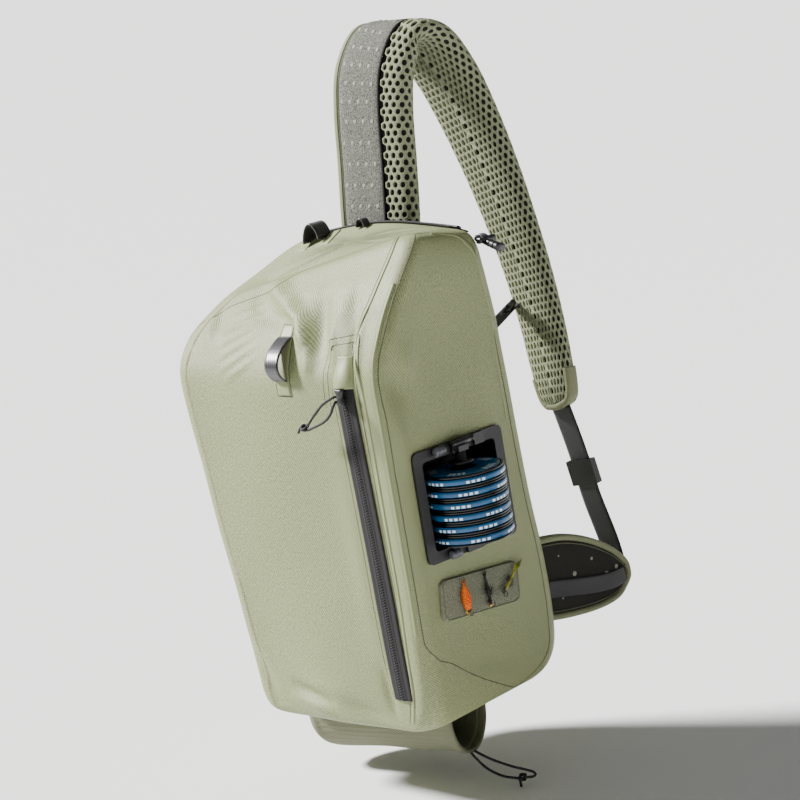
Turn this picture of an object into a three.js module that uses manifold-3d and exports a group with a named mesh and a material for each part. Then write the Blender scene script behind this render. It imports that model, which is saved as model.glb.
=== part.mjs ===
// A one-shoulder fishing sling bag of welded waterproof cloth. A tall soft body leans back at its
// shoulder, a padded strap arches from its top edge to a short wing at its lower right corner, and
// its right side carries a moulded tray with a stack of line spools on a post and a pile patch
// with three flies. A stretch sleeve of round section is welded under it.
//
// The bag is drawn in its own axes, in millimetres: X runs across its width, Y from its front to
// the wearer, and Z up from the middle of its underside. At the end everything is moved so that
// the origin is the inside of the strap's crown, where the bag hangs on a shoulder.

import * as THREE from "three";
import { mergeVertices } from "three/addons/utils/BufferGeometryUtils.js";
import Module from "manifold-3d";

// Driving dimensions
// GAP lies between any two pieces, SHEET_GAP between a sheet and a curved one under it, and SINK is
// how deep a piece starts below the cloth before it is trimmed to lie GAP above it.
const GAP = 0.3;
const SHEET_GAP = 0.5;
const SINK = 2;

const WIDTH = 300;
const DEPTH = 180;
const HEIGHT = 441;
const WALL = 2;
const FRONT_BULGE = 7;
const BACK_BULGE = 4;
const TOP_CROWN = 10;

const POCKET_ZIP_LENGTH = 286;
const POCKET_ZIP_DRIFT = 10;
const POCKET_ZIP_WIDTH = 22;
const POCKET_ZIP_THICKNESS = 1.4;
const POCKET_TEETH_HEIGHT = 2;
const ZIP_HOOD_LENGTH = 24;
const ZIP_HOOD_WIDTH = 24;
const ZIP_HOOD_THICKNESS = 2;
const ZIP_SLIDER_LENGTH = 14;
const ZIP_SLIDER_WIDTH = 10;
const ZIP_SLIDER_HEIGHT = 5;

const MAIN_ZIP_WIDTH = 18;
const MAIN_ZIP_THICKNESS = 2;
const MAIN_TEETH_HEIGHT = 2.4;
const MAIN_SLOT_WIDTH = 8;
const MAIN_PULL_LENGTH = 24;
const MAIN_PULL_WIDTH = 8;
const MAIN_PULL_BAR = 22;

const PATCH_THICKNESS = 1;
const LOOP_WEBBING = 18;
const LOOP_WEBBING_THICKNESS = 1.8;
const ARCH_STEPS = 10;
const FRONT_LOOP_LENGTH = 42;
const FRONT_LOOP_BOW = 13;
const FRONT_PATCH_LENGTH = 74;
const TOP_LOOP_LENGTH = 34;
const TOP_LOOP_RISE = 15;
const TOP_TAB_LENGTH = 13;

const SPOOL_COUNT = 6;
const SPOOL_RADIUS = 36.5;
const SPOOL_THICKNESS = 10.3;
const SPOOL_FLANGE = 1.5;
const SPOOL_GROOVE = 1.8;
const SPOOL_BORE = 5.6;
const SPOOL_SIDES = 16;
const BAND_PROUD = 0.6;
const POST_RADIUS = 5;
const POST_HEAD_RADIUS = 11;
const POST_HEAD_HEIGHT = 4;
const POST_FOOT_RADIUS = 17;
const POST_OUT = 5;
const POST_FOOT_HEIGHT = 1.5;
const TRAY_FLANGE = 8;
const TRAY_FLANGE_THICKNESS = 3;
const TRAY_WALL = 2;
const TRAY_CORNER = 6;
const TRAY_SIDE_ROOM = 8.5;
const TRAY_HEAD_ROOM = 17.4;
const TRAY_FLOOR_ROOM = 5.5;
const STACK_HEIGHT = SPOOL_COUNT * (SPOOL_THICKNESS + GAP);
const TRAY_WIDTH = 2 * (SPOOL_RADIUS + TRAY_SIDE_ROOM + TRAY_WALL + TRAY_FLANGE);
const TRAY_HEIGHT = STACK_HEIGHT + TRAY_HEAD_ROOM + 2 * (TRAY_WALL + TRAY_FLANGE);
const TRAY_DEPTH = SPOOL_RADIUS + TRAY_FLOOR_ROOM;
const BARREL_RADIUS = 4;
const BARREL_LENGTH = 11;
const HOOK_WIDTH = 12;
const HOOK_THICKNESS = 5;
const TOGGLE_LENGTH = 26;
const TOGGLE_RADIUS = 3.2;

const FLY_PATCH_WIDTH = 96;
const FLY_PATCH_HEIGHT = 37;
const FLY_PATCH_THICKNESS = 3.5;
const FLY_PATCH_CORNER = 7;
const FLY_PATCH_TILT = -5;
const FLY_LENGTH = 26;
const FLY_RADIUS = 3.4;

const STRAP_RISE = 165;
const STRAP_REACH = 100;
const STRAP_WIDTH = 94;
const STRAP_THICKNESS = 24;
const STRAP_FACE_SHARE = 0.66;
const STRAP_FACE_THICKNESS = 1.6;
const STRAP_PIPING_WIDTH = 11;
const STRAP_END_BINDING = 4;
const WEBBING_SAG = 6;
const SLIDER_SHARE = 0.4;
const WING_WEBBING = 20;

const WEBBING_WIDTH = 25;
const WEBBING_THICKNESS = 2;
const SLIDER_WIDTH = 33;
const SLIDER_LENGTH = 24;
const SLIDER_THICKNESS = 7;
const STABILIZER_WIDTH = 15;
const STABILIZER_THICKNESS = 1.6;
const BUCKLE_LENGTH = 17;
const BUCKLE_WIDTH = 21;
const BUCKLE_THICKNESS = 6;
const BUCKLE_AT = 0.72;

const WING_LENGTH = 94;
const WING_HEIGHT = 78;
const WING_THICKNESS = 14;
const WING_FACE_MARGIN = 9;
const WING_FACE_THICKNESS = 1.4;

const SLEEVE_RADIUS = 36;
const SLEEVE_WALL = 2.5;
const SLEEVE_LENGTH = 172;
const SLEEVE_END_ROUNDING = 14;
const SLEEVE_MOUTH_SLANT = 0.3;
const HEM_LENGTH = 7;
const HEM_WALL = 3.6;
const CORD_RADIUS = 1.25;
const CORD_SIDES = 8;
const CORD_STEPS = 3;
const KNOT_RADIUS = 4;

// The body's sections in plan, from its underside to its top. left and right are shares of WIDTH.
// frontL and frontR are where the front face lies at its left and right end, back is the back
// face, and cornerL and cornerR are the radii of the left and right corners, all shares of DEPTH.
const BODY_PLAN = [
  { left: -0.36, right: 0.333, frontL: -0.385, frontR: -0.375, back: 0.35, cornerL: 0.17, cornerR: 0.13 },
  { left: -0.415, right: 0.38, frontL: -0.42, frontR: -0.412, back: 0.44, cornerL: 0.19, cornerR: 0.13 },
  { left: -0.437, right: 0.407, frontL: -0.43, frontR: -0.425, back: 0.495, cornerL: 0.19, cornerR: 0.12 },
  { left: -0.448, right: 0.42, frontL: -0.43, frontR: -0.428, back: 0.52, cornerL: 0.19, cornerR: 0.1 },
  { left: -0.468, right: 0.4233, frontL: -0.43, frontR: -0.428, back: 0.525, cornerL: 0.19, cornerR: 0.09 },
  { left: -0.489, right: 0.4233, frontL: -0.43, frontR: -0.425, back: 0.51, cornerL: 0.19, cornerR: 0.08 },
  { left: -0.512, right: 0.4233, frontL: -0.43, frontR: -0.425, back: 0.485, cornerL: 0.18, cornerR: 0.08 },
  { left: -0.535, right: 0.4233, frontL: -0.43, frontR: -0.425, back: 0.47, cornerL: 0.18, cornerR: 0.08 },
  { left: -0.562, right: 0.4233, frontL: -0.43, frontR: -0.425, back: 0.46, cornerL: 0.18, cornerR: 0.08 },
  { left: -0.578, right: 0.4233, frontL: -0.42, frontR: -0.42, back: 0.45, cornerL: 0.18, cornerR: 0.08 },
  { left: -0.575, right: 0.4233, frontL: -0.38, frontR: -0.378, back: 0.445, cornerL: 0.18, cornerR: 0.08 },
  { left: -0.562, right: 0.4233, frontL: -0.31, frontR: -0.292, back: 0.43, cornerL: 0.18, cornerR: 0.08 },
  { left: -0.53, right: 0.4217, frontL: -0.22, frontR: -0.19, back: 0.415, cornerL: 0.17, cornerR: 0.08 },
  { left: -0.487, right: 0.413, frontL: -0.14, frontR: -0.09, back: 0.405, cornerL: 0.15, cornerR: 0.075 },
  { left: -0.427, right: 0.393, frontL: -0.08, frontR: -0.035, back: 0.38, cornerL: 0.12, cornerR: 0.07 },
  { left: -0.333, right: 0.347, frontL: -0.01, frontR: 0.035, back: 0.31, cornerL: 0.08, cornerR: 0.06 },
];
// The same sections' heights at their four corners, as shares of HEIGHT. bulge is the section's
// share of FRONT_BULGE and BACK_BULGE, and crown its share of TOP_CROWN.
const BODY_LEVELS = [
  { frontL: 0, frontR: 0.007, backL: 0.002, backR: 0.025, bulge: 0.2, crown: 0 },
  { frontL: 0.011, frontR: 0.017, backL: 0.014, backR: 0.036, bulge: 0.5, crown: 0 },
  { frontL: 0.039, frontR: 0.043, backL: 0.041, backR: 0.062, bulge: 0.8, crown: 0 },
  { frontL: 0.091, frontR: 0.095, backL: 0.095, backR: 0.109, bulge: 1, crown: 0 },
  { frontL: 0.193, frontR: 0.193, backL: 0.193, backR: 0.2, bulge: 1, crown: 0 },
  { frontL: 0.3, frontR: 0.3, backL: 0.3, backR: 0.3, bulge: 1, crown: 0 },
  { frontL: 0.41, frontR: 0.41, backL: 0.41, backR: 0.41, bulge: 1, crown: 0 },
  { frontL: 0.53, frontR: 0.53, backL: 0.53, backR: 0.53, bulge: 1, crown: 0 },
  { frontL: 0.65, frontR: 0.65, backL: 0.65, backR: 0.65, bulge: 1, crown: 0 },
  { frontL: 0.735, frontR: 0.74, backL: 0.735, backR: 0.735, bulge: 0.9, crown: 0 },
  { frontL: 0.778, frontR: 0.8, backL: 0.79, backR: 0.79, bulge: 0.7, crown: 0 },
  { frontL: 0.815, frontR: 0.864, backL: 0.84, backR: 0.845, bulge: 0.5, crown: 0.1 },
  { frontL: 0.846, frontR: 0.922, backL: 0.89, backR: 0.9, bulge: 0.3, crown: 0.4 },
  { frontL: 0.87, frontR: 0.972, backL: 0.932, backR: 0.945, bulge: 0.2, crown: 0.8 },
  { frontL: 0.886, frontR: 0.995, backL: 0.957, backR: 0.972, bulge: 0.1, crown: 1 },
  { frontL: 0.9, frontR: 1, backL: 0.968, backR: 0.985, bulge: 0, crown: 1 },
];
// Soft dents and swells of the cloth. across is a share of WIDTH on the front and of DEPTH on the
// side, up and both reaches are shares of HEIGHT, lean tilts a dent, and depth is a share of WALL.
const BODY_DENTS = [
  { face: "front", across: 0.02, up: 0.8, reachAcross: 0.05, reachUp: 0.09, lean: 0.5, depth: 0.9 },
  { face: "front", across: -0.2, up: 0.73, reachAcross: 0.09, reachUp: 0.05, lean: -0.3, depth: -0.9 },
  { face: "front", across: -0.1, up: 0.33, reachAcross: 0.12, reachUp: 0.16, lean: 0.2, depth: 0.7 },
  { face: "front", across: 0.2, up: 0.14, reachAcross: 0.05, reachUp: 0.09, lean: -0.4, depth: 0.8 },
  { face: "side", across: -0.16, up: 0.67, reachAcross: 0.06, reachUp: 0.04, lean: 0.3, depth: 0.8 },
];
const FRONT_STEPS = 8;
const SIDE_STEPS = 4;
const CORNER_STEPS = 4;
const BODY_RINGS = 20;
const LINING_RINGS = 10;

// The strap's stations from its root on the bag's back, over the shoulder, to its free end. x is a
// share of WIDTH, y of STRAP_REACH behind the root and z of the crown's height above the underside.
// width and thick are shares of the strap's own sizes.
const STRAP_STATIONS = [
  { x: -0.073, y: -0.03, z: 0.668, width: 0.96, thick: 0.9 },
  { x: -0.073, y: 0.03, z: 0.73, width: 1, thick: 1 },
  { x: -0.07, y: 0.09, z: 0.81, width: 1, thick: 1 },
  { x: -0.066, y: 0.14, z: 0.89, width: 1, thick: 1 },
  { x: -0.056, y: 0.22, z: 0.952, width: 1, thick: 1 },
  { x: -0.036, y: 0.41, z: 0.995, width: 0.98, thick: 0.96 },
  { x: -0.008, y: 0.66, z: 0.982, width: 0.92, thick: 0.92 },
  { x: 0.025, y: 0.84, z: 0.925, width: 0.85, thick: 0.88 },
  { x: 0.064, y: 0.94, z: 0.85, width: 0.78, thick: 0.84 },
  { x: 0.108, y: 0.99, z: 0.77, width: 0.71, thick: 0.8 },
  { x: 0.15, y: 1.01, z: 0.69, width: 0.65, thick: 0.76 },
  { x: 0.187, y: 1.02, z: 0.61, width: 0.6, thick: 0.73 },
  { x: 0.218, y: 1.01, z: 0.53, width: 0.56, thick: 0.7 },
  { x: 0.243, y: 0.98, z: 0.455, width: 0.52, thick: 0.67 },
  { x: 0.257, y: 0.96, z: 0.412, width: 0.44, thick: 0.62 },
  { x: 0.263, y: 0.95, z: 0.398, width: 0.3, thick: 0.5 },
];
const STRAP_STEPS = 28;
const STRAP_SIDES = 14;
const STRAP_FACE_FROM = 2;
const STRAP_FACE_TO = 24;
const STRAP_BINDING_FROM = 0.88;
const STABILIZER_AT = 0.77;
const STRAP_CROWN = 5 / (STRAP_STATIONS.length - 1);

// The wing's stations from its root on the bag's lower right corner to its tip. x is a share of
// WIDTH, y of WING_LENGTH, middle a share of HEIGHT, height and thick shares of the wing's own.
const WING_STATIONS = [
  { x: 0.385, y: -0.12, middle: 0.23, height: 0.98, thick: 1 },
  { x: 0.39, y: 0.12, middle: 0.222, height: 1, thick: 1 },
  { x: 0.395, y: 0.36, middle: 0.21, height: 0.95, thick: 1 },
  { x: 0.4, y: 0.6, middle: 0.195, height: 0.83, thick: 0.95 },
  { x: 0.405, y: 0.8, middle: 0.183, height: 0.66, thick: 0.9 },
  { x: 0.408, y: 0.94, middle: 0.176, height: 0.44, thick: 0.8 },
  { x: 0.41, y: 1, middle: 0.172, height: 0.2, thick: 0.6 },
];
const WING_STEPS = 10;
const WING_SIDES = 12;
const WING_FACE_FROM = 0.08;
const WING_FACE_TO = 0.86;
const WING_WEBBING_TO = 0.82;

// The sleeve's axis at its closed end and at its mouth: x is a share of WIDTH, y of DEPTH and z of
// the sleeve's radius.
const SLEEVE_FOOT = { x: -0.4, y: 0.03, z: -0.62 };
const SLEEVE_MOUTH = { y: 0.12, z: -0.36 };
const SLEEVE_SIDES = 20;

// The cords' chosen points, in the bag's own axes. Each strand ends in the knot, and so does the
// short tail.
const POCKET_PULL = {
  upper: [[81.3, -88.7, 316.4], [80, -92.3, 316], [70, -95, 311], [58, -95.5, 302], [45, -95.5, 291]],
  lower: [[81.3, -88.9, 312.4], [81, -92.8, 309.5], [78, -95.6, 302], [68, -96.3, 295], [45, -95.5, 287]],
  knot: [40.2, -95.5, 288.6],
  tail: [31, -95.5, 284],
};
const SLEEVE_PULL = {
  upper: [
    [60.4, 20, -48.3], [68, 20, -50.5], [82, 20, -54], [106, 20.5, -57.5], [136, 22, -60],
    [133, 22, -63],
  ],
  lower: [[62.7, 14, -47.5], [69, 14, -53], [82, 15, -62], [98, 17.5, -67.5], [112, 19.5, -68]],
  knot: [120.5, 20, -66.5],
  tail: [117.5, 20, -76],
};

const wasm = await Module();
wasm.setup();

const { clamp, lerp, degToRad, smoothstep } = THREE.MathUtils;
const AXIS = {
  x: new THREE.Vector3(1, 0, 0),
  y: new THREE.Vector3(0, 1, 0),
  z: new THREE.Vector3(0, 0, 1),
};
const vector = (x, y, z) => new THREE.Vector3(x, y, z);

// Finishes
const finish = (color, roughness, metalness = 0) =>
  new THREE.MeshStandardMaterial({ color, roughness, metalness });
const FINISH = {
  cloth: finish("#b4b69f", 0.75),
  zip: finish("#3c3839", 0.6),
  webbing: finish("#29252c", 0.8),
  moulded: finish("#26242a", 0.45),
  spool: finish("#1b1d22", 0.4),
  band: finish("#1f78a8", 0.5),
  barrel: finish("#8d9094", 0.35, 0.6),
  pile: finish("#6d705e", 0.95),
  foam: finish("#d9742a", 0.7),
  thread: finish("#1c1a18", 0.8),
  olive: finish("#8f8f2f", 0.9),
  mesh: finish("#868a7c", 0.9),
  knit: finish("#6f7069", 0.95),
  binding: finish("#8f9382", 0.85),
  sleeve: finish("#84867a", 0.9),
};

// A table's columns at a place between its rows, on a smooth curve. t is 0 at the first row and 1
// at the last.
function sampleTable(rows, t) {
  const place = clamp(t, 0, 1) * (rows.length - 1);
  const low = Math.min(Math.floor(place), rows.length - 2);
  const f = place - low;
  const near = [low - 1, low, low + 1, low + 2].map((k) => rows[clamp(k, 0, rows.length - 1)]);
  const sampled = {};
  for (const key of Object.keys(rows[0])) {
    const [a, b, c, d] = near.map((row) => row[key]);
    const bend = 2 * a - 5 * b + 4 * c - d + f * (3 * (b - c) + d - a);
    sampled[key] = b + 0.5 * f * (c - a + f * bend);
  }
  return sampled;
}

// A geometry from points and triangles, turned round if its faces point inwards.
function closedGeometry(points, triangles) {
  const a = vector(0, 0, 0);
  let volume = 0;
  for (let i = 0; i < triangles.length; i += 3) {
    const [p, q, r] = [0, 1, 2].map((k) => points[triangles[i + k]]);
    volume += a.crossVectors(q, r).dot(p);
  }
  if (volume < 0) triangles.reverse();
  return new THREE.BufferGeometry().setFromPoints(points).setIndex(triangles);
}

// A closed solid through rings of points, its two ends closed by fans.
function loft(rings) {
  const count = rings[0].length;
  const points = rings.flat();
  const triangles = [];
  for (let r = 0; r + 1 < rings.length; r++) {
    for (let i = 0; i < count; i++) {
      const a = r * count + i;
      const b = r * count + ((i + 1) % count);
      triangles.push(a, b, b + count, a, b + count, a + count);
    }
  }
  const last = (rings.length - 1) * count;
  for (const [start, turned] of [[0, true], [last, false]]) {
    const centre = points.length;
    const ring = points.slice(start, start + count);
    points.push(ring.reduce((sum, p) => sum.add(p), vector(0, 0, 0)).divideScalar(count));
    for (let i = 0; i < count; i++) {
      const a = start + i;
      const b = start + ((i + 1) % count);
      triangles.push(...(turned ? [b, a, centre] : [a, b, centre]));
    }
  }
  return closedGeometry(points, triangles);
}

// A closed sheet over a grid of places { point, normal }, from one lift above them to another.
function slab(grid, low, high) {
  const rows = grid.length;
  const columns = grid[0].length;
  const layer = (lift) =>
    grid.flat().map(({ point, normal }) => point.clone().addScaledVector(normal, lift));
  const points = [...layer(low), ...layer(high)];
  const top = rows * columns;
  const triangles = [];
  for (let r = 0; r + 1 < rows; r++) {
    for (let c = 0; c + 1 < columns; c++) {
      const a = r * columns + c;
      const [b, d, e] = [a + 1, a + columns, a + columns + 1];
      triangles.push(a, e, b, a, d, e, a + top, b + top, e + top, a + top, e + top, d + top);
    }
  }
  const rim = [];
  for (let c = 0; c < columns; c++) rim.push(c);
  for (let r = 1; r < rows; r++) rim.push(r * columns + columns - 1);
  for (let c = columns - 2; c >= 0; c--) rim.push((rows - 1) * columns + c);
  for (let r = rows - 2; r > 0; r--) rim.push(r * columns);
  rim.forEach((a, i) => {
    const b = rim[(i + 1) % rim.length];
    triangles.push(a, b, b + top, a, b + top, a + top);
  });
  return closedGeometry(points, triangles);
}

// Solids from geometries and geometries from solids, for joining and cutting.
function toSolid(geometry) {
  const bare = geometry.clone();
  bare.deleteAttribute("normal");
  bare.deleteAttribute("uv");
  const merged = mergeVertices(bare, 1e-3);
  return new wasm.Manifold(
    new wasm.Mesh({
      numProp: 3,
      vertProperties: new Float32Array(merged.attributes.position.array),
      triVerts: new Uint32Array(merged.index.array),
    }),
  );
}

function toGeometry(solid) {
  const mesh = solid.getMesh();
  return new THREE.BufferGeometry()
    .setAttribute("position", new THREE.BufferAttribute(new Float32Array(mesh.vertProperties), 3))
    .setIndex(new THREE.BufferAttribute(new Uint32Array(mesh.triVerts), 1));
}

const upright = (geometry) =>
  geometry.applyMatrix4(new THREE.Matrix4().makeBasis(AXIS.y, AXIS.z, AXIS.x));
const placed = (geometry, x, y, z) => geometry.clone().translate(x, y, z);
const joined = (...geometries) =>
  toGeometry(geometries.map(toSolid).reduce((whole, next) => whole.add(next)));
const cut = (geometry, ...tools) =>
  toGeometry(tools.map(toSolid).reduce((rest, tool) => rest.subtract(tool), toSolid(geometry)));

// A piece trimmed to lie GAP above the body's cloth, and above any other clearance given.
const seated = (geometry, ...clearances) => cut(geometry, bodyClearance, ...clearances);

// Nodes
const bag = new THREE.Group();
function node(name, geometry, material) {
  const mesh = new THREE.Mesh(geometry, material);
  mesh.name = name;
  bag.add(mesh);
  return mesh;
}

// One ring of the body at height share t, drawn in by inset: the front from left to right, the
// right side, the back and the left side, with a quarter round at each corner.
function bodyRing(t, inset) {
  const row = sampleTable(BODY_PLAN, t);
  const level = sampleTable(BODY_LEVELS, t);
  const left = row.left * WIDTH + inset;
  const right = row.right * WIDTH - inset;
  const frontLeft = row.frontL * DEPTH + inset;
  const frontRight = row.frontR * DEPTH + inset;
  const front = (frontLeft + frontRight) / 2;
  const back = row.back * DEPTH - inset;
  const radiusLeft = row.cornerL * DEPTH - inset;
  const radiusRight = row.cornerR * DEPTH - inset;
  const outline = [];
  const side = (x0, y0, x1, y1, steps, outX, outY) => {
    for (let i = 0; i <= steps; i++) {
      const s = i / steps;
      const swell = 0.5 - 0.5 * Math.cos(2 * Math.PI * s);
      outline.push([lerp(x0, x1, s) + outX * swell, lerp(y0, y1, s) + outY * swell]);
    }
  };
  const corner = (x, y, radius, from) => {
    for (let i = 1; i < CORNER_STEPS; i++) {
      const angle = degToRad(from + (90 * i) / CORNER_STEPS);
      outline.push([x + radius * Math.cos(angle), y + radius * Math.sin(angle)]);
    }
  };
  const frontSwell = -FRONT_BULGE * level.bulge;
  const backSwell = BACK_BULGE * level.bulge;
  side(left + radiusLeft, front, right - radiusRight, front, FRONT_STEPS, 0, frontSwell);
  corner(right - radiusRight, front + radiusRight, radiusRight, -90);
  side(right, front + radiusRight, right, back - radiusRight, SIDE_STEPS, 0, 0);
  corner(right - radiusRight, back - radiusRight, radiusRight, 0);
  side(right - radiusRight, back, left + radiusLeft, back, FRONT_STEPS, 0, backSwell);
  corner(left + radiusLeft, back - radiusLeft, radiusLeft, 90);
  side(left, back - radiusLeft, left, front + radiusLeft, SIDE_STEPS, 0, 0);
  corner(left + radiusLeft, front + radiusLeft, radiusLeft, 180);
  return outline.map(([x, y]) => {
    const u = clamp((x - left) / (right - left), 0, 1);
    const v = clamp((y - front) / (back - front), 0, 1);
    const share = lerp(lerp(level.frontL, level.frontR, u), lerp(level.backL, level.backR, u), v);
    const z = HEIGHT * share + TOP_CROWN * level.crown * Math.sin(Math.PI * u) * v;
    const point = vector(
      x,
      y + (lerp(frontLeft, frontRight, u) - front) * (1 - v),
      inset + z * (1 - (2 * inset) / HEIGHT),
    );
    return point.add(clothDent(point));
  });
}

// How far the cloth is pushed in or swells at a point of the body.
function clothDent(point) {
  const push = vector(0, 0, 0);
  for (const dent of BODY_DENTS) {
    const onFront = dent.face === "front";
    const across = onFront ? point.x - dent.across * WIDTH : point.y - dent.across * DEPTH;
    const up = point.z - dent.up * HEIGHT;
    const a = (across - dent.lean * up) / (dent.reachAcross * HEIGHT);
    const b = up / (dent.reachUp * HEIGHT);
    const faced = onFront
      ? smoothstep(-point.y, 0.1 * DEPTH, 0.35 * DEPTH)
      : smoothstep(point.x, 0.36 * WIDTH, 0.43 * WIDTH);
    const amount = dent.depth * WALL * Math.exp(-a * a - b * b) * faced;
    push.addScaledVector(onFront ? AXIS.y : AXIS.x, onFront ? amount : -amount);
  }
  return push;
}

const bodyGeometry = (inset, rings) =>
  loft(Array.from({ length: rings }, (_, i) => bodyRing(i / (rings - 1), inset)));

const bodyOuter = bodyGeometry(0, BODY_RINGS);
const bodyClearance = bodyGeometry(-GAP, BODY_RINGS);
const skin = new THREE.Mesh(
  bodyOuter,
  new THREE.MeshBasicMaterial({ side: THREE.DoubleSide }),
);
const raycaster = new THREE.Raycaster();

// The place where a ray meets the body's cloth, with the way back along the ray as its normal.
function onBody(from, towards) {
  raycaster.set(from, towards.clone().normalize());
  const [hit] = raycaster.intersectObject(skin);
  if (!hit) throw new Error("a piece lies beside the body it is fastened to");
  return { point: hit.point, normal: towards.clone().normalize().negate() };
}
const FAR = 3 * HEIGHT;
const onFront = (x, z) => onBody(vector(x, -FAR, z), AXIS.y);
const onBack = (x, z) => onBody(vector(x, FAR, z), AXIS.y.clone().negate());
const onRight = (y, z) => onBody(vector(FAR, y, z), AXIS.x.clone().negate());
const onTop = (x, y) => onBody(vector(x, y, FAR), AXIS.z.clone().negate());

// A grid of places, rows by columns, from a function of two shares.
const grid = (rows, columns, place) =>
  Array.from({ length: rows }, (_, r) =>
    Array.from({ length: columns }, (_, c) => place(r / (rows - 1), c / (columns - 1))),
  );

// A flat strip of webbing through stations { at, across, width }, thickness centred on them.
function ribbon(stations, thickness) {
  return loft(
    stations.map(({ at, across, width }, i) => {
      const before = stations[Math.max(i - 1, 0)].at;
      const after = stations[Math.min(i + 1, stations.length - 1)].at;
      const along = after.clone().sub(before).normalize();
      const wide = across.clone().addScaledVector(along, -across.dot(along)).normalize();
      const up = along.clone().cross(wide);
      return [[-1, -1], [1, -1], [1, 1], [-1, 1]].map(([a, b]) =>
        at.clone().addScaledVector(wide, (a * width) / 2).addScaledVector(up, (b * thickness) / 2),
      );
    }),
  );
}

// A cord of round section along a curve through chosen points.
function cord(points, steps) {
  const section = new THREE.Shape().absarc(0, 0, CORD_RADIUS, 0, 2 * Math.PI);
  return new THREE.ExtrudeGeometry(section, {
    steps,
    curveSegments: CORD_SIDES / 2,
    extrudePath: new THREE.CatmullRomCurve3(points),
  });
}

// A rectangle with rounded corners about the origin.
function roundedRectangle(width, height, radius) {
  const shape = new THREE.Shape();
  const x = width / 2 - radius;
  const y = height / 2 - radius;
  shape.absarc(x, -y, radius, -Math.PI / 2, 0);
  shape.absarc(x, y, radius, 0, Math.PI / 2);
  shape.absarc(-x, y, radius, Math.PI / 2, Math.PI);
  shape.absarc(-x, -y, radius, Math.PI, 1.5 * Math.PI);
  return shape;
}

// The body
// The main zip runs along the bag's top back edge. Its places are found by rays that come in
// from above and behind.
const MAIN_ZIP_LEFT = -0.32 * WIDTH;
const MAIN_ZIP_RIGHT = 0.4 * WIDTH;
const MAIN_ZIP_STEP = 18;
const MAIN_ZIP_ROWS = Math.round((MAIN_ZIP_RIGHT - MAIN_ZIP_LEFT) / MAIN_ZIP_STEP) + 1;
const mainZipTop = GAP + MAIN_ZIP_THICKNESS + SHEET_GAP + MAIN_TEETH_HEIGHT;
const mainZipGrid = (rows, columns, width) => {
  const inwards = vector(0, -1, -1).normalize();
  const acrossEdge = vector(0, 1, -1).normalize();
  return grid(rows, columns, (s, c) => {
    const x = lerp(MAIN_ZIP_LEFT, MAIN_ZIP_RIGHT, s);
    const edge = vector(x, 0.34 * DEPTH, lerp(0.935, 0.95, s) * HEIGHT);
    edge.addScaledVector(acrossEdge, (c - 0.5) * width).addScaledVector(inwards, -FAR);
    return onBody(edge, inwards);
  });
};
const mainZipClearance = slab(
  mainZipGrid(MAIN_ZIP_ROWS, 4, MAIN_ZIP_WIDTH + 2 * GAP),
  -SINK,
  mainZipTop + GAP,
);

const TRAY_Y = -0.0085 * DEPTH;
const TRAY_Z = 0.47 * HEIGHT;
const trayFace = onRight(TRAY_Y, TRAY_Z).point.x;
const trayBoxWidth = TRAY_WIDTH - 2 * TRAY_FLANGE;
const trayBoxHeight = TRAY_HEIGHT - 2 * TRAY_FLANGE;

function makeBody() {
  const lining = bodyGeometry(WALL, LINING_RINGS);
  const windowDepth = 20 * WALL;
  const window = new THREE.BoxGeometry(
    windowDepth,
    trayBoxWidth + 2 * GAP,
    trayBoxHeight + 2 * GAP,
  ).translate(trayFace, TRAY_Y, TRAY_Z);
  const slot = slab(mainZipGrid(MAIN_ZIP_ROWS, 2, MAIN_SLOT_WIDTH), -6 * WALL, 2 * WALL);
  node("body_shell", cut(bodyOuter, lining, window, slot), FINISH.cloth);
}

// The main zip: a strip of tape over the slot, its teeth, and a pull at its right end.
function makeMainZip() {
  const tapeTop = GAP + MAIN_ZIP_THICKNESS;
  const teethLow = tapeTop + SHEET_GAP;
  const places = mainZipGrid(MAIN_ZIP_ROWS, 4, MAIN_ZIP_WIDTH);
  const teeth = places.map((row) => row.slice(1, 3));
  node("main_zip_tape", seated(slab(places, -SINK, tapeTop)), FINISH.zip);
  node("main_zip_teeth", slab(teeth, teethLow, mainZipTop), FINISH.zip);
  const [first, second] = mainZipGrid(2, 3, MAIN_ZIP_WIDTH)[1].slice(1);
  const start = first.point.clone().lerp(second.point, 0.2);
  start.addScaledVector(first.normal, mainZipTop);
  const block = new THREE.BoxGeometry(MAIN_PULL_LENGTH, MAIN_PULL_WIDTH, MAIN_PULL_WIDTH);
  const bar = new THREE.BoxGeometry(MAIN_PULL_WIDTH, MAIN_PULL_BAR, 0.7 * MAIN_PULL_WIDTH);
  const pull = joined(
    placed(block, 0, 0, 0),
    placed(bar, MAIN_PULL_LENGTH / 2, 0, 0),
  );
  pull.rotateX(degToRad(-40));
  pull.translate(
    start.x + MAIN_PULL_LENGTH / 2 - MAIN_PULL_WIDTH / 2,
    start.y + MAIN_PULL_WIDTH * 0.75,
    start.z - MAIN_PULL_WIDTH,
  );
  node("main_zip_pull", seated(pull, mainZipClearance), FINISH.moulded);
}

// The front pocket's zip: tape, teeth, a cloth hood over its upper end and a slider with a cord.
// Its middle stays at one share of the bag's height, whatever its length.
const pocketMiddle = 0.408237 * HEIGHT;
const pocketTop = { x: 0.27 * WIDTH, z: pocketMiddle + POCKET_ZIP_LENGTH / 2 };
const pocketFoot = { x: pocketTop.x + POCKET_ZIP_DRIFT, z: pocketMiddle - POCKET_ZIP_LENGTH / 2 };
const pocketPlace = (s, across) =>
  onFront(lerp(pocketTop.x, pocketFoot.x, s) + across, lerp(pocketTop.z, pocketFoot.z, s));

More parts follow.
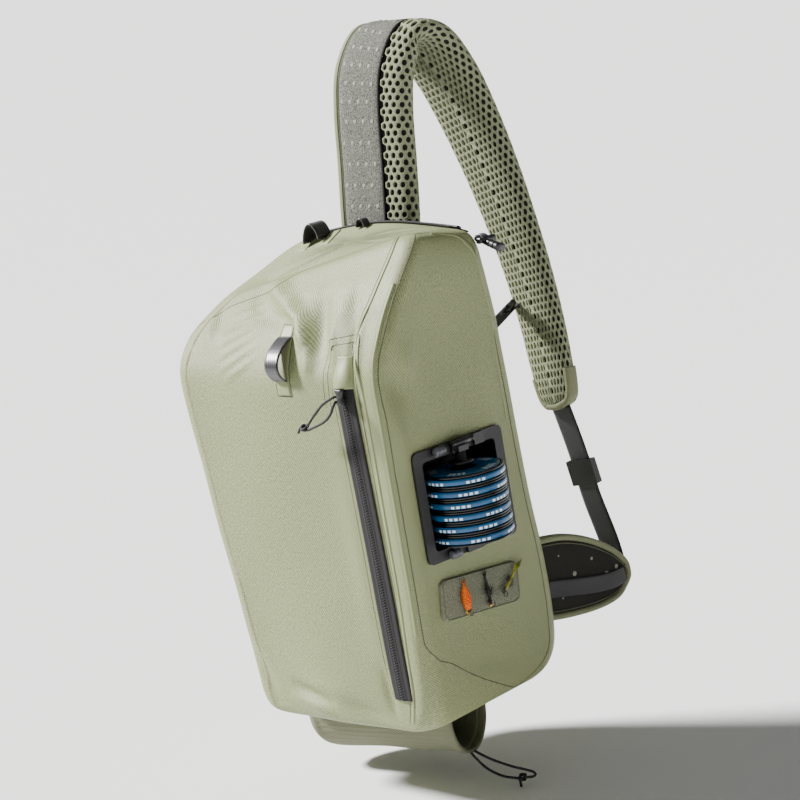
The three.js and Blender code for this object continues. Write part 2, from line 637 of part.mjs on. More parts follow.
function makePocketZip() {
  const strip = (rows, columns, width) =>
    grid(rows, columns, (s, c) => pocketPlace(s, (c - 0.5) * width));
  const tapeTop = GAP + POCKET_ZIP_THICKNESS;
  const teethLow = tapeTop + SHEET_GAP;
  const teethTop = teethLow + POCKET_TEETH_HEIGHT;
  const places = strip(12, 4, POCKET_ZIP_WIDTH);
  const teeth = places.map((row) => row.slice(1, 3));
  node("pocket_zip_tape", seated(slab(places, -SINK, tapeTop)), FINISH.zip);
  node("pocket_zip_teeth", slab(teeth, teethLow, teethTop), FINISH.zip);

  const hoodPlace = (s, c) =>
    onFront(
      pocketTop.x + (c - 0.5) * lerp(ZIP_HOOD_WIDTH * 0.8, ZIP_HOOD_WIDTH, s),
      pocketTop.z + SHEET_GAP + lerp(ZIP_HOOD_LENGTH, 0, s),
    );
  node("zip_hood", seated(slab(grid(4, 4, hoodPlace), -SINK, ZIP_HOOD_THICKNESS)), FINISH.cloth);

  const sliderAt = pocketPlace((ZIP_SLIDER_LENGTH * 0.6) / POCKET_ZIP_LENGTH, 0).point;
  const sliderFront = sliderAt.y - teethTop - GAP - ZIP_SLIDER_HEIGHT;
  const sliderDepth = ZIP_SLIDER_HEIGHT + SINK;
  const slider = new THREE.BoxGeometry(ZIP_SLIDER_WIDTH, sliderDepth, ZIP_SLIDER_LENGTH);
  const eye = new THREE.BoxGeometry(
    ZIP_SLIDER_WIDTH / 3,
    ZIP_SLIDER_HEIGHT / 2,
    ZIP_SLIDER_LENGTH / 2,
  );
  const whole = joined(
    placed(slider, sliderAt.x, sliderFront + sliderDepth / 2, sliderAt.z),
    placed(eye, sliderAt.x, sliderFront, sliderAt.z),
  );
  node("pocket_zip_slider", cut(whole, slab(places, -SINK, teethTop + GAP)), FINISH.moulded);
  makePull("pocket_pull", POCKET_PULL);
}

// A pull cord: two strands side by side from a slider or hem to a knot with a short tail.
function makePull(name, { upper, lower, knot, tail }) {
  const ball = new THREE.SphereGeometry(KNOT_RADIUS, 8, 5).translate(...knot);
  const clearance = new THREE.SphereGeometry(KNOT_RADIUS + SHEET_GAP, 8, 5).translate(...knot);
  for (const [strand, list] of [["_upper", upper], ["_lower", lower]]) {
    const points = [...list, knot].map((p) => vector(...p));
    const whole = cord(points, CORD_STEPS * list.length);
    node(name + strand, cut(whole, clearance), FINISH.webbing);
  }
  const end = cord([vector(...knot), vector(...tail)], 2);
  node(name + "_knot", joined(ball, end), FINISH.webbing);
}

// A webbing loop standing on the front, over a long cloth patch.
function makeFrontLoop() {
  const x = 0.015 * WIDTH;
  const top = 0.83 * HEIGHT;
  const middle = top - FRONT_LOOP_LENGTH / 2;
  const patchPlace = (s, c) =>
    onFront(
      x + (c - 0.5) * (LOOP_WEBBING + 2),
      middle + (0.5 - s) * FRONT_PATCH_LENGTH,
    );
  const patch = slab(grid(12, 3, patchPlace), -SINK, PATCH_THICKNESS);
  node("front_loop_patch", seated(patch), FINISH.cloth);
  const stations = [];
  for (let i = 0; i <= ARCH_STEPS; i++) {
    const s = i / ARCH_STEPS;
    const z = top - s * FRONT_LOOP_LENGTH;
    const { point } = onFront(x, z);
    const lift = PATCH_THICKNESS + SHEET_GAP + LOOP_WEBBING_THICKNESS / 2;
    const rise = FRONT_LOOP_BOW * Math.sin(Math.PI * s) ** 0.7;
    stations.push({ at: point.setY(point.y - lift - rise), across: AXIS.x, width: LOOP_WEBBING });
  }
  node("front_loop", ribbon(stations, LOOP_WEBBING_THICKNESS), FINISH.webbing);
}

// A webbing loop that arches over the top panel between two cloth tabs.
function makeTopLoop() {
  const y = 0.25 * DEPTH;
  const left = -0.27 * WIDTH;
  const tab = (from, high) => {
    const place = (s, c) => onTop(from + s * TOP_TAB_LENGTH, y + (c - 0.5) * LOOP_WEBBING);
    return slab(grid(3, 3, place), -SINK, high);
  };
  const ends = [left, left + TOP_LOOP_LENGTH].map((x) => x - TOP_TAB_LENGTH / 2);
  node("top_loop_tab_left", seated(tab(ends[0], PATCH_THICKNESS)), FINISH.cloth);
  node("top_loop_tab_right", seated(tab(ends[1], PATCH_THICKNESS)), FINISH.cloth);
  const arch = [];
  for (let i = 0; i <= ARCH_STEPS; i++) {
    const s = i / ARCH_STEPS;
    const { point } = onTop(left + s * TOP_LOOP_LENGTH, y);
    point.z += PATCH_THICKNESS + TOP_LOOP_RISE * Math.sin(Math.PI * s) ** 0.6;
    arch.push({ at: point, across: AXIS.y, width: LOOP_WEBBING - 2 * SHEET_GAP });
  }
  const clearances = ends.map((from) => tab(from, PATCH_THICKNESS + SHEET_GAP));
  const loop = seated(ribbon(arch, LOOP_WEBBING_THICKNESS), ...clearances);
  node("top_loop", loop, FINISH.webbing);
}

// The tray: a flange on the side panel round a deep box that opens outwards.
function makeTray() {
  const flangeFace = trayFace + GAP + TRAY_FLANGE_THICKNESS;
  const extrudeOut = (shape, depth, x) =>
    upright(new THREE.ExtrudeGeometry(shape, { depth, bevelEnabled: false, curveSegments: 3 }))
      .translate(x, TRAY_Y, TRAY_Z);
  const flange = roundedRectangle(TRAY_WIDTH, TRAY_HEIGHT, TRAY_CORNER);
  const box = roundedRectangle(trayBoxWidth - GAP, trayBoxHeight - GAP, TRAY_CORNER);
  const hollow = roundedRectangle(
    trayBoxWidth - GAP - 2 * TRAY_WALL,
    trayBoxHeight - GAP - 2 * TRAY_WALL,
    TRAY_CORNER - TRAY_WALL,
  );
  const floor = flangeFace - TRAY_DEPTH;
  node(
    "spool_tray",
    cut(
      joined(
        extrudeOut(flange, TRAY_FLANGE_THICKNESS, trayFace + GAP),
        extrudeOut(box, TRAY_DEPTH - TRAY_FLANGE_THICKNESS / 2, floor),
      ),
      extrudeOut(hollow, TRAY_DEPTH, floor + TRAY_WALL),
    ),
    FINISH.moulded,
  );
}

// Spools on a post in front of the tray. Each spool is a grooved disc with an elastic band in
// its groove, and turns round the post.
const flangeFace = trayFace + GAP + TRAY_FLANGE_THICKNESS;
const postX = trayFace + POST_OUT;
const trayInnerHeight = trayBoxHeight - GAP - 2 * TRAY_WALL;
const postFoot = TRAY_Z - trayInnerHeight / 2 + GAP;
const postTop = TRAY_Z + trayInnerHeight / 2 - GAP;
const stackFoot = postFoot + POST_FOOT_HEIGHT + GAP;

function makeSpools() {
  const turned = (profile) =>
    new THREE.LatheGeometry(profile.map(([r, z]) => new THREE.Vector2(r, z)), SPOOL_SIDES)
      .rotateX(Math.PI / 2);
  const groove = SPOOL_RADIUS - SPOOL_GROOVE;
  const bandTop = SPOOL_THICKNESS - SPOOL_FLANGE - GAP;
  const bandLow = SPOOL_FLANGE + GAP;
  const spool = turned([
    [SPOOL_BORE, 0],
    [SPOOL_RADIUS, 0],
    [SPOOL_RADIUS, SPOOL_FLANGE],
    [groove, SPOOL_FLANGE],
    [groove, SPOOL_THICKNESS - SPOOL_FLANGE],
    [SPOOL_RADIUS, SPOOL_THICKNESS - SPOOL_FLANGE],
    [SPOOL_RADIUS, SPOOL_THICKNESS],
    [SPOOL_BORE, SPOOL_THICKNESS],
    [SPOOL_BORE, 0],
  ]);
  const band = turned([
    [groove + GAP, bandLow],
    [SPOOL_RADIUS + BAND_PROUD, bandLow],
    [SPOOL_RADIUS + BAND_PROUD, bandTop],
    [groove + GAP, bandTop],
    [groove + GAP, bandLow],
  ]);
  for (let i = 0; i < SPOOL_COUNT; i++) {
    const z = stackFoot + i * (SPOOL_THICKNESS + GAP);
    node("spool_" + (i + 1), placed(spool, postX, TRAY_Y, z), FINISH.spool);
    node("band_" + (i + 1), placed(band, postX, TRAY_Y, z), FINISH.band);
  }
}

function makePost() {
  const stackTop = stackFoot + STACK_HEIGHT;
  const profile = [
    [0, postFoot],
    [POST_FOOT_RADIUS, postFoot],
    [POST_FOOT_RADIUS, postFoot + POST_FOOT_HEIGHT],
    [POST_RADIUS, postFoot + POST_FOOT_HEIGHT],
    [POST_RADIUS, stackTop + POST_HEAD_HEIGHT],
    [POST_HEAD_RADIUS, stackTop + POST_HEAD_HEIGHT],
    [POST_HEAD_RADIUS, stackTop + 1.6 * POST_HEAD_HEIGHT],
    [POST_RADIUS, stackTop + 1.6 * POST_HEAD_HEIGHT],
    [POST_RADIUS, postTop],
    [0, postTop],
  ].map(([r, z]) => new THREE.Vector2(r, z));
  const post = new THREE.LatheGeometry(profile, 12).rotateX(Math.PI / 2);
  node("spool_post", placed(post, postX, TRAY_Y, 0), FINISH.moulded);

  const armLength = postX + POST_RADIUS + GAP - flangeFace;
  const bracket = (low, plateLow) => {
    const arm = new THREE.BoxGeometry(armLength, HOOK_WIDTH, HOOK_THICKNESS);
    const plate = new THREE.BoxGeometry(HOOK_THICKNESS / 2, 1.6 * HOOK_WIDTH, 2 * HOOK_THICKNESS);
    return joined(
      placed(arm, flangeFace + GAP + armLength / 2, TRAY_Y, low + HOOK_THICKNESS / 2),
      placed(plate, flangeFace + GAP + HOOK_THICKNESS / 4, TRAY_Y, plateLow + HOOK_THICKNESS),
    );
  };
  const upperLow = postTop + GAP;
  const lowerLow = postFoot - GAP - HOOK_THICKNESS;
  node("post_bracket_upper", bracket(upperLow, upperLow), FINISH.moulded);
  node("post_bracket_lower", bracket(lowerLow, lowerLow - HOOK_THICKNESS), FINISH.moulded);

  const rod = (radius, length) => new THREE.CylinderGeometry(radius, radius, length, 12);
  const toggleX = flangeFace + GAP + HOOK_THICKNESS / 2 + GAP + TOGGLE_RADIUS;
  const toggleZ = upperLow + HOOK_THICKNESS + GAP + TOGGLE_RADIUS;
  const toggle = placed(rod(TOGGLE_RADIUS, TOGGLE_LENGTH), toggleX, TRAY_Y, toggleZ);
  node("post_toggle", toggle, FINISH.moulded);

  const barrelX = flangeFace + GAP + BARREL_RADIUS;
  const inset = TRAY_FLANGE / 2;
  const barrel = (z) =>
    placed(rod(BARREL_RADIUS, BARREL_LENGTH), barrelX, TRAY_Y - 0.24 * TRAY_WIDTH, z);
  node("barrel_upper", barrel(TRAY_Z + TRAY_HEIGHT / 2 - inset), FINISH.barrel);
  node("barrel_lower", barrel(TRAY_Z - TRAY_HEIGHT / 2 + inset), FINISH.barrel);
  const tab = new THREE.BoxGeometry(HOOK_THICKNESS / 2, HOOK_WIDTH, 2 * HOOK_THICKNESS);
  node(
    "tray_tab",
    placed(
      tab,
      flangeFace + GAP + HOOK_THICKNESS / 4,
      TRAY_Y + 0.22 * TRAY_WIDTH,
      TRAY_Z + TRAY_HEIGHT / 2 - HOOK_THICKNESS,
    ),
    FINISH.moulded,
  );
}

// The pile patch under the tray, with three flies hooked into it.
function makeFlies() {
  const z = 0.268 * HEIGHT;
  const pad = roundedRectangle(FLY_PATCH_WIDTH, FLY_PATCH_HEIGHT, FLY_PATCH_CORNER);
  const depth = FLY_PATCH_THICKNESS;
  const patch = upright(
    new THREE.ExtrudeGeometry(pad, { depth, bevelEnabled: false, curveSegments: 4 }),
  );
  patch.rotateX(degToRad(FLY_PATCH_TILT));
  node("fly_patch", placed(patch, trayFace + GAP, TRAY_Y, z), FINISH.pile);
  const rows = [
    { across: -0.24, tilt: 2, finish: FINISH.foam },
    { across: 0.04, tilt: 6, finish: FINISH.thread },
    { across: 0.33, tilt: -48, finish: FINISH.olive },
  ];
  const x = trayFace + FLY_PATCH_THICKNESS + 2 * GAP + FLY_RADIUS;
  rows.forEach(({ across, tilt, finish: colour }, i) => {
    const half = FLY_LENGTH / 2;
    const profile = [[0, -half], [0.5, -0.6 * half], [1, 0.1 * half], [0.6, 0.75 * half], [0, half]];
    const body = new THREE.LatheGeometry(
      profile.map(([share, along]) => new THREE.Vector2(share * FLY_RADIUS, along)),
      8,
    ).rotateX(Math.PI / 2);
    body.rotateX(degToRad(tilt));
    node("fly_" + (i + 1), placed(body, x, TRAY_Y + across * FLY_PATCH_WIDTH, z), colour);
  });
}

// The strap: a thick pad of foam in open mesh, with a knitted panel and a cloth strip on its
// outer face, and a rolled binding round its lower end.
const crownHeight = HEIGHT + STRAP_RISE;
const strapRow = (t) => {
  const row = sampleTable(STRAP_STATIONS, t);
  const thick = row.thick * STRAP_THICKNESS;
  return { ...row, thick, width: row.width * STRAP_WIDTH };
};
const strapRoot = onBack(STRAP_STATIONS[1].x * WIDTH, STRAP_STATIONS[0].z * crownHeight).point.y;
const strapMiddle = (t) => {
  const row = sampleTable(STRAP_STATIONS, t);
  const y = strapRoot + GAP + STRAP_THICKNESS / 2 + row.y * STRAP_REACH;
  return vector(row.x * WIDTH, y, row.z * crownHeight);
};
function strapFrame(t) {
  const step = 0.5 / STRAP_STEPS;
  const at = strapMiddle(t);
  const along = strapMiddle(t + step).sub(strapMiddle(t - step)).normalize();
  const across = AXIS.x.clone().addScaledVector(along, -along.x).normalize();
  const out = across.clone().cross(along);
  return { at, along, across, out, ...strapRow(t) };
}

function makeStrap() {
  const rings = [];
  for (let i = 0; i <= STRAP_STEPS; i++) {
    const { at, across, out, width, thick } = strapFrame(i / STRAP_STEPS);
    const ring = [];
    for (let k = 0; k < STRAP_SIDES; k++) {
      const angle = (2 * Math.PI * (k + 0.5)) / STRAP_SIDES;
      const a = Math.sign(Math.cos(angle)) * Math.abs(Math.cos(angle)) ** 0.45;
      const b = Math.sign(Math.sin(angle)) * Math.abs(Math.sin(angle)) ** 0.8;
      ring.push(
        at.clone().addScaledVector(across, (a * width) / 2).addScaledVector(out, (b * thick) / 2),
      );
    }
    rings.push(ring);
  }
  node("strap_pad", seated(loft(rings), mainZipClearance), FINISH.mesh);

  const outerStrip = (columns, left, right) => {
    const rows = STRAP_FACE_TO - STRAP_FACE_FROM + 1;
    const places = grid(rows, columns, (s, c) => {
      const t = lerp(STRAP_FACE_FROM, STRAP_FACE_TO, s) / STRAP_STEPS;
      const { at, across, out, width, thick } = strapFrame(t);
      at.addScaledVector(across, lerp(left, right, c) * width).addScaledVector(out, thick / 2);
      return { point: at, normal: out };
    });
    return slab(places, SHEET_GAP, SHEET_GAP + STRAP_FACE_THICKNESS);
  };
  const right = STRAP_FACE_SHARE / 2;
  const seam = GAP / STRAP_WIDTH;
  const piping = (STRAP_PIPING_WIDTH + GAP) / STRAP_WIDTH;
  node("strap_face", outerStrip(3, -right, right), FINISH.knit);
  node("strap_piping", outerStrip(2, -right - piping, -right - 2 * seam), FINISH.binding);
}

// The rolled binding follows the pad's outline round its lower end, from one edge to the other.
function makeStrapBinding() {
  const outline = [];
  const half = STRAP_END_BINDING / 2;
  const edge = (t, side) => {
    const { at, across, out, width, thick } = strapFrame(t);
    const reach = (side * width) / 2;
    return { at: at.addScaledVector(across, reach), out, thick };
  };
  for (let i = 0; i <= 7; i++) outline.push(edge(lerp(STRAP_BINDING_FROM, 1, i / 7), -1));
  const end = strapFrame(1);
  for (const share of [-0.3, 0.3]) {
    outline.push({
      at: end.at.clone().addScaledVector(end.across, share * end.width),
      out: end.out,
      thick: end.thick,
    });
  }
  for (let i = 0; i <= 7; i++) outline.push(edge(lerp(1, STRAP_BINDING_FROM, i / 7), 1));
  const middles = outline.map(({ at }) => at);
  const rings = outline.map(({ at, out, thick }, i) => {
    const before = middles[Math.max(i - 1, 0)];
    const after = middles[Math.min(i + 1, middles.length - 1)];
    const away = after.clone().sub(before).cross(out).normalize();
    const lift = half + GAP + SHEET_GAP;
    const high = thick / 2 + half;
    const section = [[-half, -high], [half, -high], [1.6 * half, 0], [half, high], [-half, high]];
    return section.map(([a, b]) =>
      at.clone().addScaledVector(away, -(lift + a)).addScaledVector(out, b),
    );
  });
  node("strap_end_binding", loft(rings), FINISH.binding);
}

// The lower webbing with its slider, from the strap's end to the tip of the wing.
function makeLowerWebbing() {
  const end = strapFrame(1);
  const tip = wingAt(0.93);
  const start = end.at.clone().addScaledVector(end.along, 2 * STRAP_END_BINDING);
  const finishAt = vector(
    tip.x - WING_THICKNESS / 2 - WEBBING_WIDTH / 2 - SHEET_GAP,
    tip.y,
    tip.z + 0.1 * WING_HEIGHT,
  );
  const path = [];
  for (let i = 0; i <= 10; i++) {
    const s = i / 10;
    const at = start.clone().lerp(finishAt, s);
    at.y += WEBBING_SAG * Math.sin(Math.PI * s);
    path.push({ at, across: AXIS.x, width: WEBBING_WIDTH });
  }
  const strip = ribbon(path, WEBBING_THICKNESS);
  const sliderStep = Math.round(SLIDER_SHARE * (path.length - 1));
  const { at: sliderAt } = path[sliderStep];
  const along = path[sliderStep + 1].at.clone().sub(path[sliderStep - 1].at).normalize();
  const wide = AXIS.x.clone().addScaledVector(along, -along.x).normalize();
  const facing = new THREE.Matrix4().makeBasis(wide, along.clone().cross(wide), along);
  facing.setPosition(sliderAt);
  const frame = new THREE.BoxGeometry(SLIDER_WIDTH, SLIDER_THICKNESS, SLIDER_LENGTH);
  const passage = new THREE.BoxGeometry(
    WEBBING_WIDTH + 2 * SHEET_GAP,
    WEBBING_THICKNESS + 2 * SHEET_GAP,
    2 * SLIDER_LENGTH,
  );
  node("lower_webbing", strip, FINISH.webbing);
  node("webbing_slider", cut(frame, passage).applyMatrix4(facing), FINISH.moulded);
}

// The wing: a padded flap with a knitted face, rimmed in cloth, and a webbing strip along it.
const wingRoot = onBack(0.36 * WIDTH, WING_STATIONS[0].middle * HEIGHT).point.y;
function wingAt(t) {
  const row = sampleTable(WING_STATIONS, t);
  return {
    x: row.x * WIDTH,
    y: wingRoot + row.y * WING_LENGTH,
    z: row.middle * HEIGHT,
    height: row.height * WING_HEIGHT,
    thick: row.thick * WING_THICKNESS,
  };
}

function makeWing() {
  const rings = [];
  for (let i = 0; i <= WING_STEPS; i++) {
    const { x, y, z, height, thick } = wingAt(i / WING_STEPS);
    const ring = [];
    for (let k = 0; k < WING_SIDES; k++) {
      const angle = (2 * Math.PI * (k + 0.5)) / WING_SIDES;
      const a = Math.sign(Math.cos(angle)) * Math.abs(Math.cos(angle)) ** 0.7;
      const b = Math.sign(Math.sin(angle)) * Math.abs(Math.sin(angle)) ** 0.5;
      ring.push(vector(x + (a * thick) / 2, y, z + (b * height) / 2));
    }
    rings.push(ring);
  }
  node("wing_pad", seated(loft(rings)), FINISH.binding);
  const facePlace = (s, c) => {
    const { x, y, z, height, thick } = wingAt(lerp(WING_FACE_FROM, WING_FACE_TO, s));
    const high = Math.max(height / 2 - WING_FACE_MARGIN, 1);
    return { point: vector(x + thick / 2, y, z + (2 * c - 1) * high), normal: AXIS.x };
  };
  node(
    "wing_face",
    seated(slab(grid(8, 3, facePlace), SHEET_GAP, SHEET_GAP + WING_FACE_THICKNESS)),
    FINISH.knit,
  );
  const strip = [];
  for (let i = 0; i <= 8; i++) {
    const s = i / 8;
    const { x, y, z, thick, height } = wingAt(lerp(WING_FACE_FROM, WING_WEBBING_TO, s));
    const out = thick / 2 + 2 * SHEET_GAP + WING_FACE_THICKNESS + WEBBING_THICKNESS / 2;
    strip.push({
      at: vector(x + out, y, z - 0.16 * height * (1 - s)),
      across: AXIS.z,
      width: WING_WEBBING,
    });
  }
  node("wing_webbing", seated(ribbon(strip, WEBBING_THICKNESS)), FINISH.webbing);
}

// A narrow strap from the bag's back to the shoulder strap's inner face, with a small buckle.
function makeStabilizer() {
  const { at, out, thick } = strapFrame(STABILIZER_AT);
  const foot = onBack(0.3 * WIDTH, 0.74 * HEIGHT).point;
  const head = at.clone().addScaledVector(out, -thick / 2 - STABILIZER_WIDTH / 4);
  const strip = [0, 0.25, 0.5, 0.75, 1].map((s) => ({
    at: foot.clone().lerp(head, s),
    across: AXIS.z,
    width: STABILIZER_WIDTH,
  }));
  const along = head.clone().sub(foot).normalize();
  const side = AXIS.z.clone().cross(along).normalize();
  const facing = new THREE.Matrix4().makeBasis(along, side, along.clone().cross(side));
  facing.setPosition(foot.clone().lerp(head, BUCKLE_AT));
  const body = new THREE.BoxGeometry(BUCKLE_LENGTH, BUCKLE_THICKNESS, BUCKLE_WIDTH);
  const passage = new THREE.BoxGeometry(
    2 * BUCKLE_LENGTH,
    STABILIZER_THICKNESS + 2 * SHEET_GAP,
    STABILIZER_WIDTH + 2 * SHEET_GAP,
  );
  node("stabilizer_strap", seated(ribbon(strip, STABILIZER_THICKNESS)), FINISH.webbing);
  node("stabilizer_buckle", cut(body, passage).applyMatrix4(facing), FINISH.moulded);
}

// The sleeve under the bag: a tube of ribbed knit, closed at the left, whose upper side is the
// bag's own underside. Its hem carries an elastic cord.
function sleeveRing(s, radius, stretch = 0) {
  const centre = vector(
    lerp(SLEEVE_FOOT.x, SLEEVE_FOOT.x + SLEEVE_LENGTH / WIDTH, s) * WIDTH + stretch,
    lerp(SLEEVE_FOOT.y, SLEEVE_MOUTH.y, s) * DEPTH,
    lerp(SLEEVE_FOOT.z, SLEEVE_MOUTH.z, s) * SLEEVE_RADIUS,
  );
  const ring = [];
  for (let k = 0; k < SLEEVE_SIDES; k++) {
    const angle = (2 * Math.PI * k) / SLEEVE_SIDES;
    const y = radius * Math.cos(angle);
    const slant = -SLEEVE_MOUTH_SLANT * y * s * s;
    ring.push(centre.clone().add(vector(slant, y, radius * Math.sin(angle))));
  }
  return ring;
}

function makeSleeve() {
  const rounding = SLEEVE_END_ROUNDING / SLEEVE_LENGTH;
  const tube = (radius, from, beyond) => {
    const rings = [];
    for (let i = 0; i <= 3; i++) {
      const angle = (i / 3) * (Math.PI / 2);
      const inset = SLEEVE_END_ROUNDING * (1 - Math.sin(angle));
      rings.push(sleeveRing(from + rounding * (1 - Math.cos(angle)), radius - inset));
    }
    for (const s of [0.35, 0.65]) rings.push(sleeveRing(s, radius));
    rings.push(sleeveRing(1, radius, beyond));
    return loft(rings);
  };
  const inner = SLEEVE_RADIUS - SLEEVE_WALL;
  const outside = tube(SLEEVE_RADIUS, 0, 0);
  const inside = tube(inner, SLEEVE_WALL / SLEEVE_LENGTH, SLEEVE_WALL);
  node("bottle_sleeve", seated(cut(outside, inside)), FINISH.sleeve);

  const hem = (radius, ends) =>
    loft(ends.map((end) => sleeveRing(1, radius, GAP + end * HEM_LENGTH)));
  const hemOuter = SLEEVE_RADIUS + 1;
  const hemTube = cut(hem(hemOuter, [0, 1]), hem(hemOuter - HEM_WALL, [-1, 2]));
  node("sleeve_hem", seated(hemTube), FINISH.binding);
  makePull("sleeve_cord", SLEEVE_PULL);
}

makeBody();
makeMainZip();
makePocketZip();
makeFrontLoop();
makeTopLoop();
makeTray();
makeSpools();
makePost();
makeFlies();
makeStrap();
makeStrapBinding();
makeWing();
makeLowerWebbing();
makeStabilizer();
makeSleeve();

// The whole bag, moved so that the origin is the inside of the strap's crown.
const crown = strapFrame(STRAP_CROWN);
crown.at.addScaledVector(crown.out, -crown.thick / 2);
bag.position.copy(crown.at).negate();
const part = new THREE.Group();
part.add(bag);
export default part;
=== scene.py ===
"""The looks of a one-shoulder fishing sling bag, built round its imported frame.

Lengths are millimetres in the bag's own axes: X across its width, Y from its front to the wearer
and Z up from the middle of its underside. place() turns them into the frame's metres.
"""

import logging
import math
from dataclasses import dataclass
from enum import Enum

import bmesh
import bpy
import numpy as np
from mathutils import Matrix, Vector


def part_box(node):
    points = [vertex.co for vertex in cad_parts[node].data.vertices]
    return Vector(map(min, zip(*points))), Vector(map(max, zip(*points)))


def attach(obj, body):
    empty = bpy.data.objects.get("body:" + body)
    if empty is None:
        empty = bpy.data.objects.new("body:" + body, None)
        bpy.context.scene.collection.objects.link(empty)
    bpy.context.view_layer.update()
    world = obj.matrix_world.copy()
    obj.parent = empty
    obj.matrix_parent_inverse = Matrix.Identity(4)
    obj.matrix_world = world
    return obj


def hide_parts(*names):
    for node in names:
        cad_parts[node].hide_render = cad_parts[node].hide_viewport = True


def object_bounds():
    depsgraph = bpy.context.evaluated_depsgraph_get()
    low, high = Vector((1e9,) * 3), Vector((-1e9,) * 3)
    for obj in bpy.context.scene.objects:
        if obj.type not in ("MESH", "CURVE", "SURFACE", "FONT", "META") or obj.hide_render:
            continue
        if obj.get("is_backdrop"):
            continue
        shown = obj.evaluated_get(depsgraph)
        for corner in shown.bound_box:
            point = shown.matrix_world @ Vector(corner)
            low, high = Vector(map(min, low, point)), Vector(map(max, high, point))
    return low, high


# Short names for types.
Array = np.ndarray
Material = bpy.types.Material
Node = bpy.types.Node
Piece = bpy.types.Object
Tree = bpy.types.NodeTree

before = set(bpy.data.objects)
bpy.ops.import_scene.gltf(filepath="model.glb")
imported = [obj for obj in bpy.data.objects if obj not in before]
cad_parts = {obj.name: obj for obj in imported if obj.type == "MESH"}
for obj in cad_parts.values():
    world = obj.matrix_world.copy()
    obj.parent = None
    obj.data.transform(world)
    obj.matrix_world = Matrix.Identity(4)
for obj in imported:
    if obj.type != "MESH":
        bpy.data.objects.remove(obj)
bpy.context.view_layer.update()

log = logging.getLogger("bag")

CROWN = np.array([-10.8, 133.2404, 592.3858])
WIDTH, DEPTH, HEIGHT = 300.0, 180.0, 441.0
TRAY_Y, TRAY_Z = -1.53, 207.27
SIDE_X = 127.0
POST_X = 131.99
WINDOW_Y, WINDOW_Z = 49.5, 45.5
PATCH_WIDTH, PATCH_HEIGHT, PATCH_Z = 96.0, 37.0, 0.268 * HEIGHT
BAG = "bag"


class Face(Enum):
    """The body's faces that pieces lie on, numbered as the segments of its rings."""

    FRONT = 0
    RIGHT = 2
    BACK = 4


# Numbers and meshes


def place(points: Array) -> Array:
    """Bag millimetres to frame metres.

    Args:
        points: Array of shape (..., 3).

    Returns:
        The points less the crown, over 1000.
    """
    return (np.asarray(points, float) - CROWN) / 1000.0


def unit(vectors: Array) -> Array:
    """Vectors over their lengths."""
    length = np.linalg.norm(vectors, axis=-1, keepdims=True)
    return vectors / np.maximum(length, 1e-9)


def mix(a: Array, b: Array, share: Array) -> Array:
    """a + (b - a) times share."""
    return a + (b - a) * share


def smooth(low: float, high: float, value: Array) -> Array:
    """The smooth step 3s^2 - 2s^3 of a value between two limits."""
    s = np.clip((value - low) / (high - low), 0.0, 1.0)
    return s * s * (3 - 2 * s)


def distances(path: Array) -> Array:
    """The distance along a path to each of its points: the running sum of its steps."""
    return np.concatenate([[0], np.cumsum(np.linalg.norm(np.diff(path, axis=0), axis=1))])


def node_box(node: str) -> tuple[Array, Array]:
    """The low and high corners of a CAD node's box, in bag millimetres."""
    low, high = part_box(node)
    return np.array(low) * 1000 + CROWN, np.array(high) * 1000 + CROWN


@dataclass(frozen=True)
class Table:
    """Rows of shares with named columns, read on a smooth curve."""

    columns: str
    rows: tuple[tuple[float, ...], ...]

    def at(self, t: Array) -> dict[str, Array]:
        """The columns at places t, 0 at the first row and 1 at the last.

        A cubic through four rows round each place, with a slope of half the difference of
        the rows on both sides of a row.

        Args:
            t: Places, of any shape.

        Returns:
            One array of t's shape for each column.
        """
        rows = np.array(self.rows)
        last = len(rows) - 1
        where = np.clip(np.asarray(t, float), 0, 1) * last
        low = np.minimum(where.astype(int), last - 1)
        f = (where - low)[..., None]
        a, b, c, d = (rows[np.clip(low + k, 0, last)] for k in (-1, 0, 1, 2))
        value = b + 0.5 * f * (c - a + f * (2 * a - 5 * b + 4 * c - d + f * (3 * (b - c) + d - a)))
        return {name: value[..., i] for i, name in enumerate(self.columns.split())}


def link(mesh: bpy.types.Mesh, name: str) -> Piece:
    """A new object of a mesh, in the scene."""
    piece = bpy.data.objects.new(name, mesh)
    bpy.context.scene.collection.objects.link(piece)
    return piece


def solid(
    name: str,
    points: Array,
    faces: Array,
    material: Material,
    uv: Array | None = None,
    body: str = BAG,
    stands_for: tuple[str, ...] = (),
    flat: bool = False,
) -> Piece:
    """A piece of the bag from points and faces.

    Args:
        name: The piece's name.
        points: (n, 3) points in bag millimetres.
        faces: Rows of point numbers.
        material: Its material.
        uv: (n, 2) pattern coordinates in millimetres, if the pattern follows the surface.
        body: The body that it rides on.
        stands_for: CAD nodes that it replaces.
        flat: True to leave its faces unsmoothed.

    Returns:
        The object.
    """
    mesh = bpy.data.meshes.new(name)
    # A triangle is a row whose last number is repeated.
    rows = [row[:3] if len(row) == 4 and row[3] == row[2] else row for row in faces.tolist()]
    mesh.from_pydata(place(points).reshape(-1, 3).tolist(), [], rows)
    mesh.validate()
    if uv is not None:
        layer = mesh.uv_layers.new(name="cloth")
        corners = np.zeros(len(mesh.loops), np.int32)
        mesh.loops.foreach_get("vertex_index", corners)
        layer.data.foreach_set("uv", np.asarray(uv, np.float32).reshape(-1, 2)[corners].ravel())
    mesh.polygons.foreach_set("use_smooth", [not flat] * len(mesh.polygons))
    mesh.materials.append(material)
    piece = link(mesh, name)
    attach(piece, body)
    if stands_for:
        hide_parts(*stands_for)
    return piece


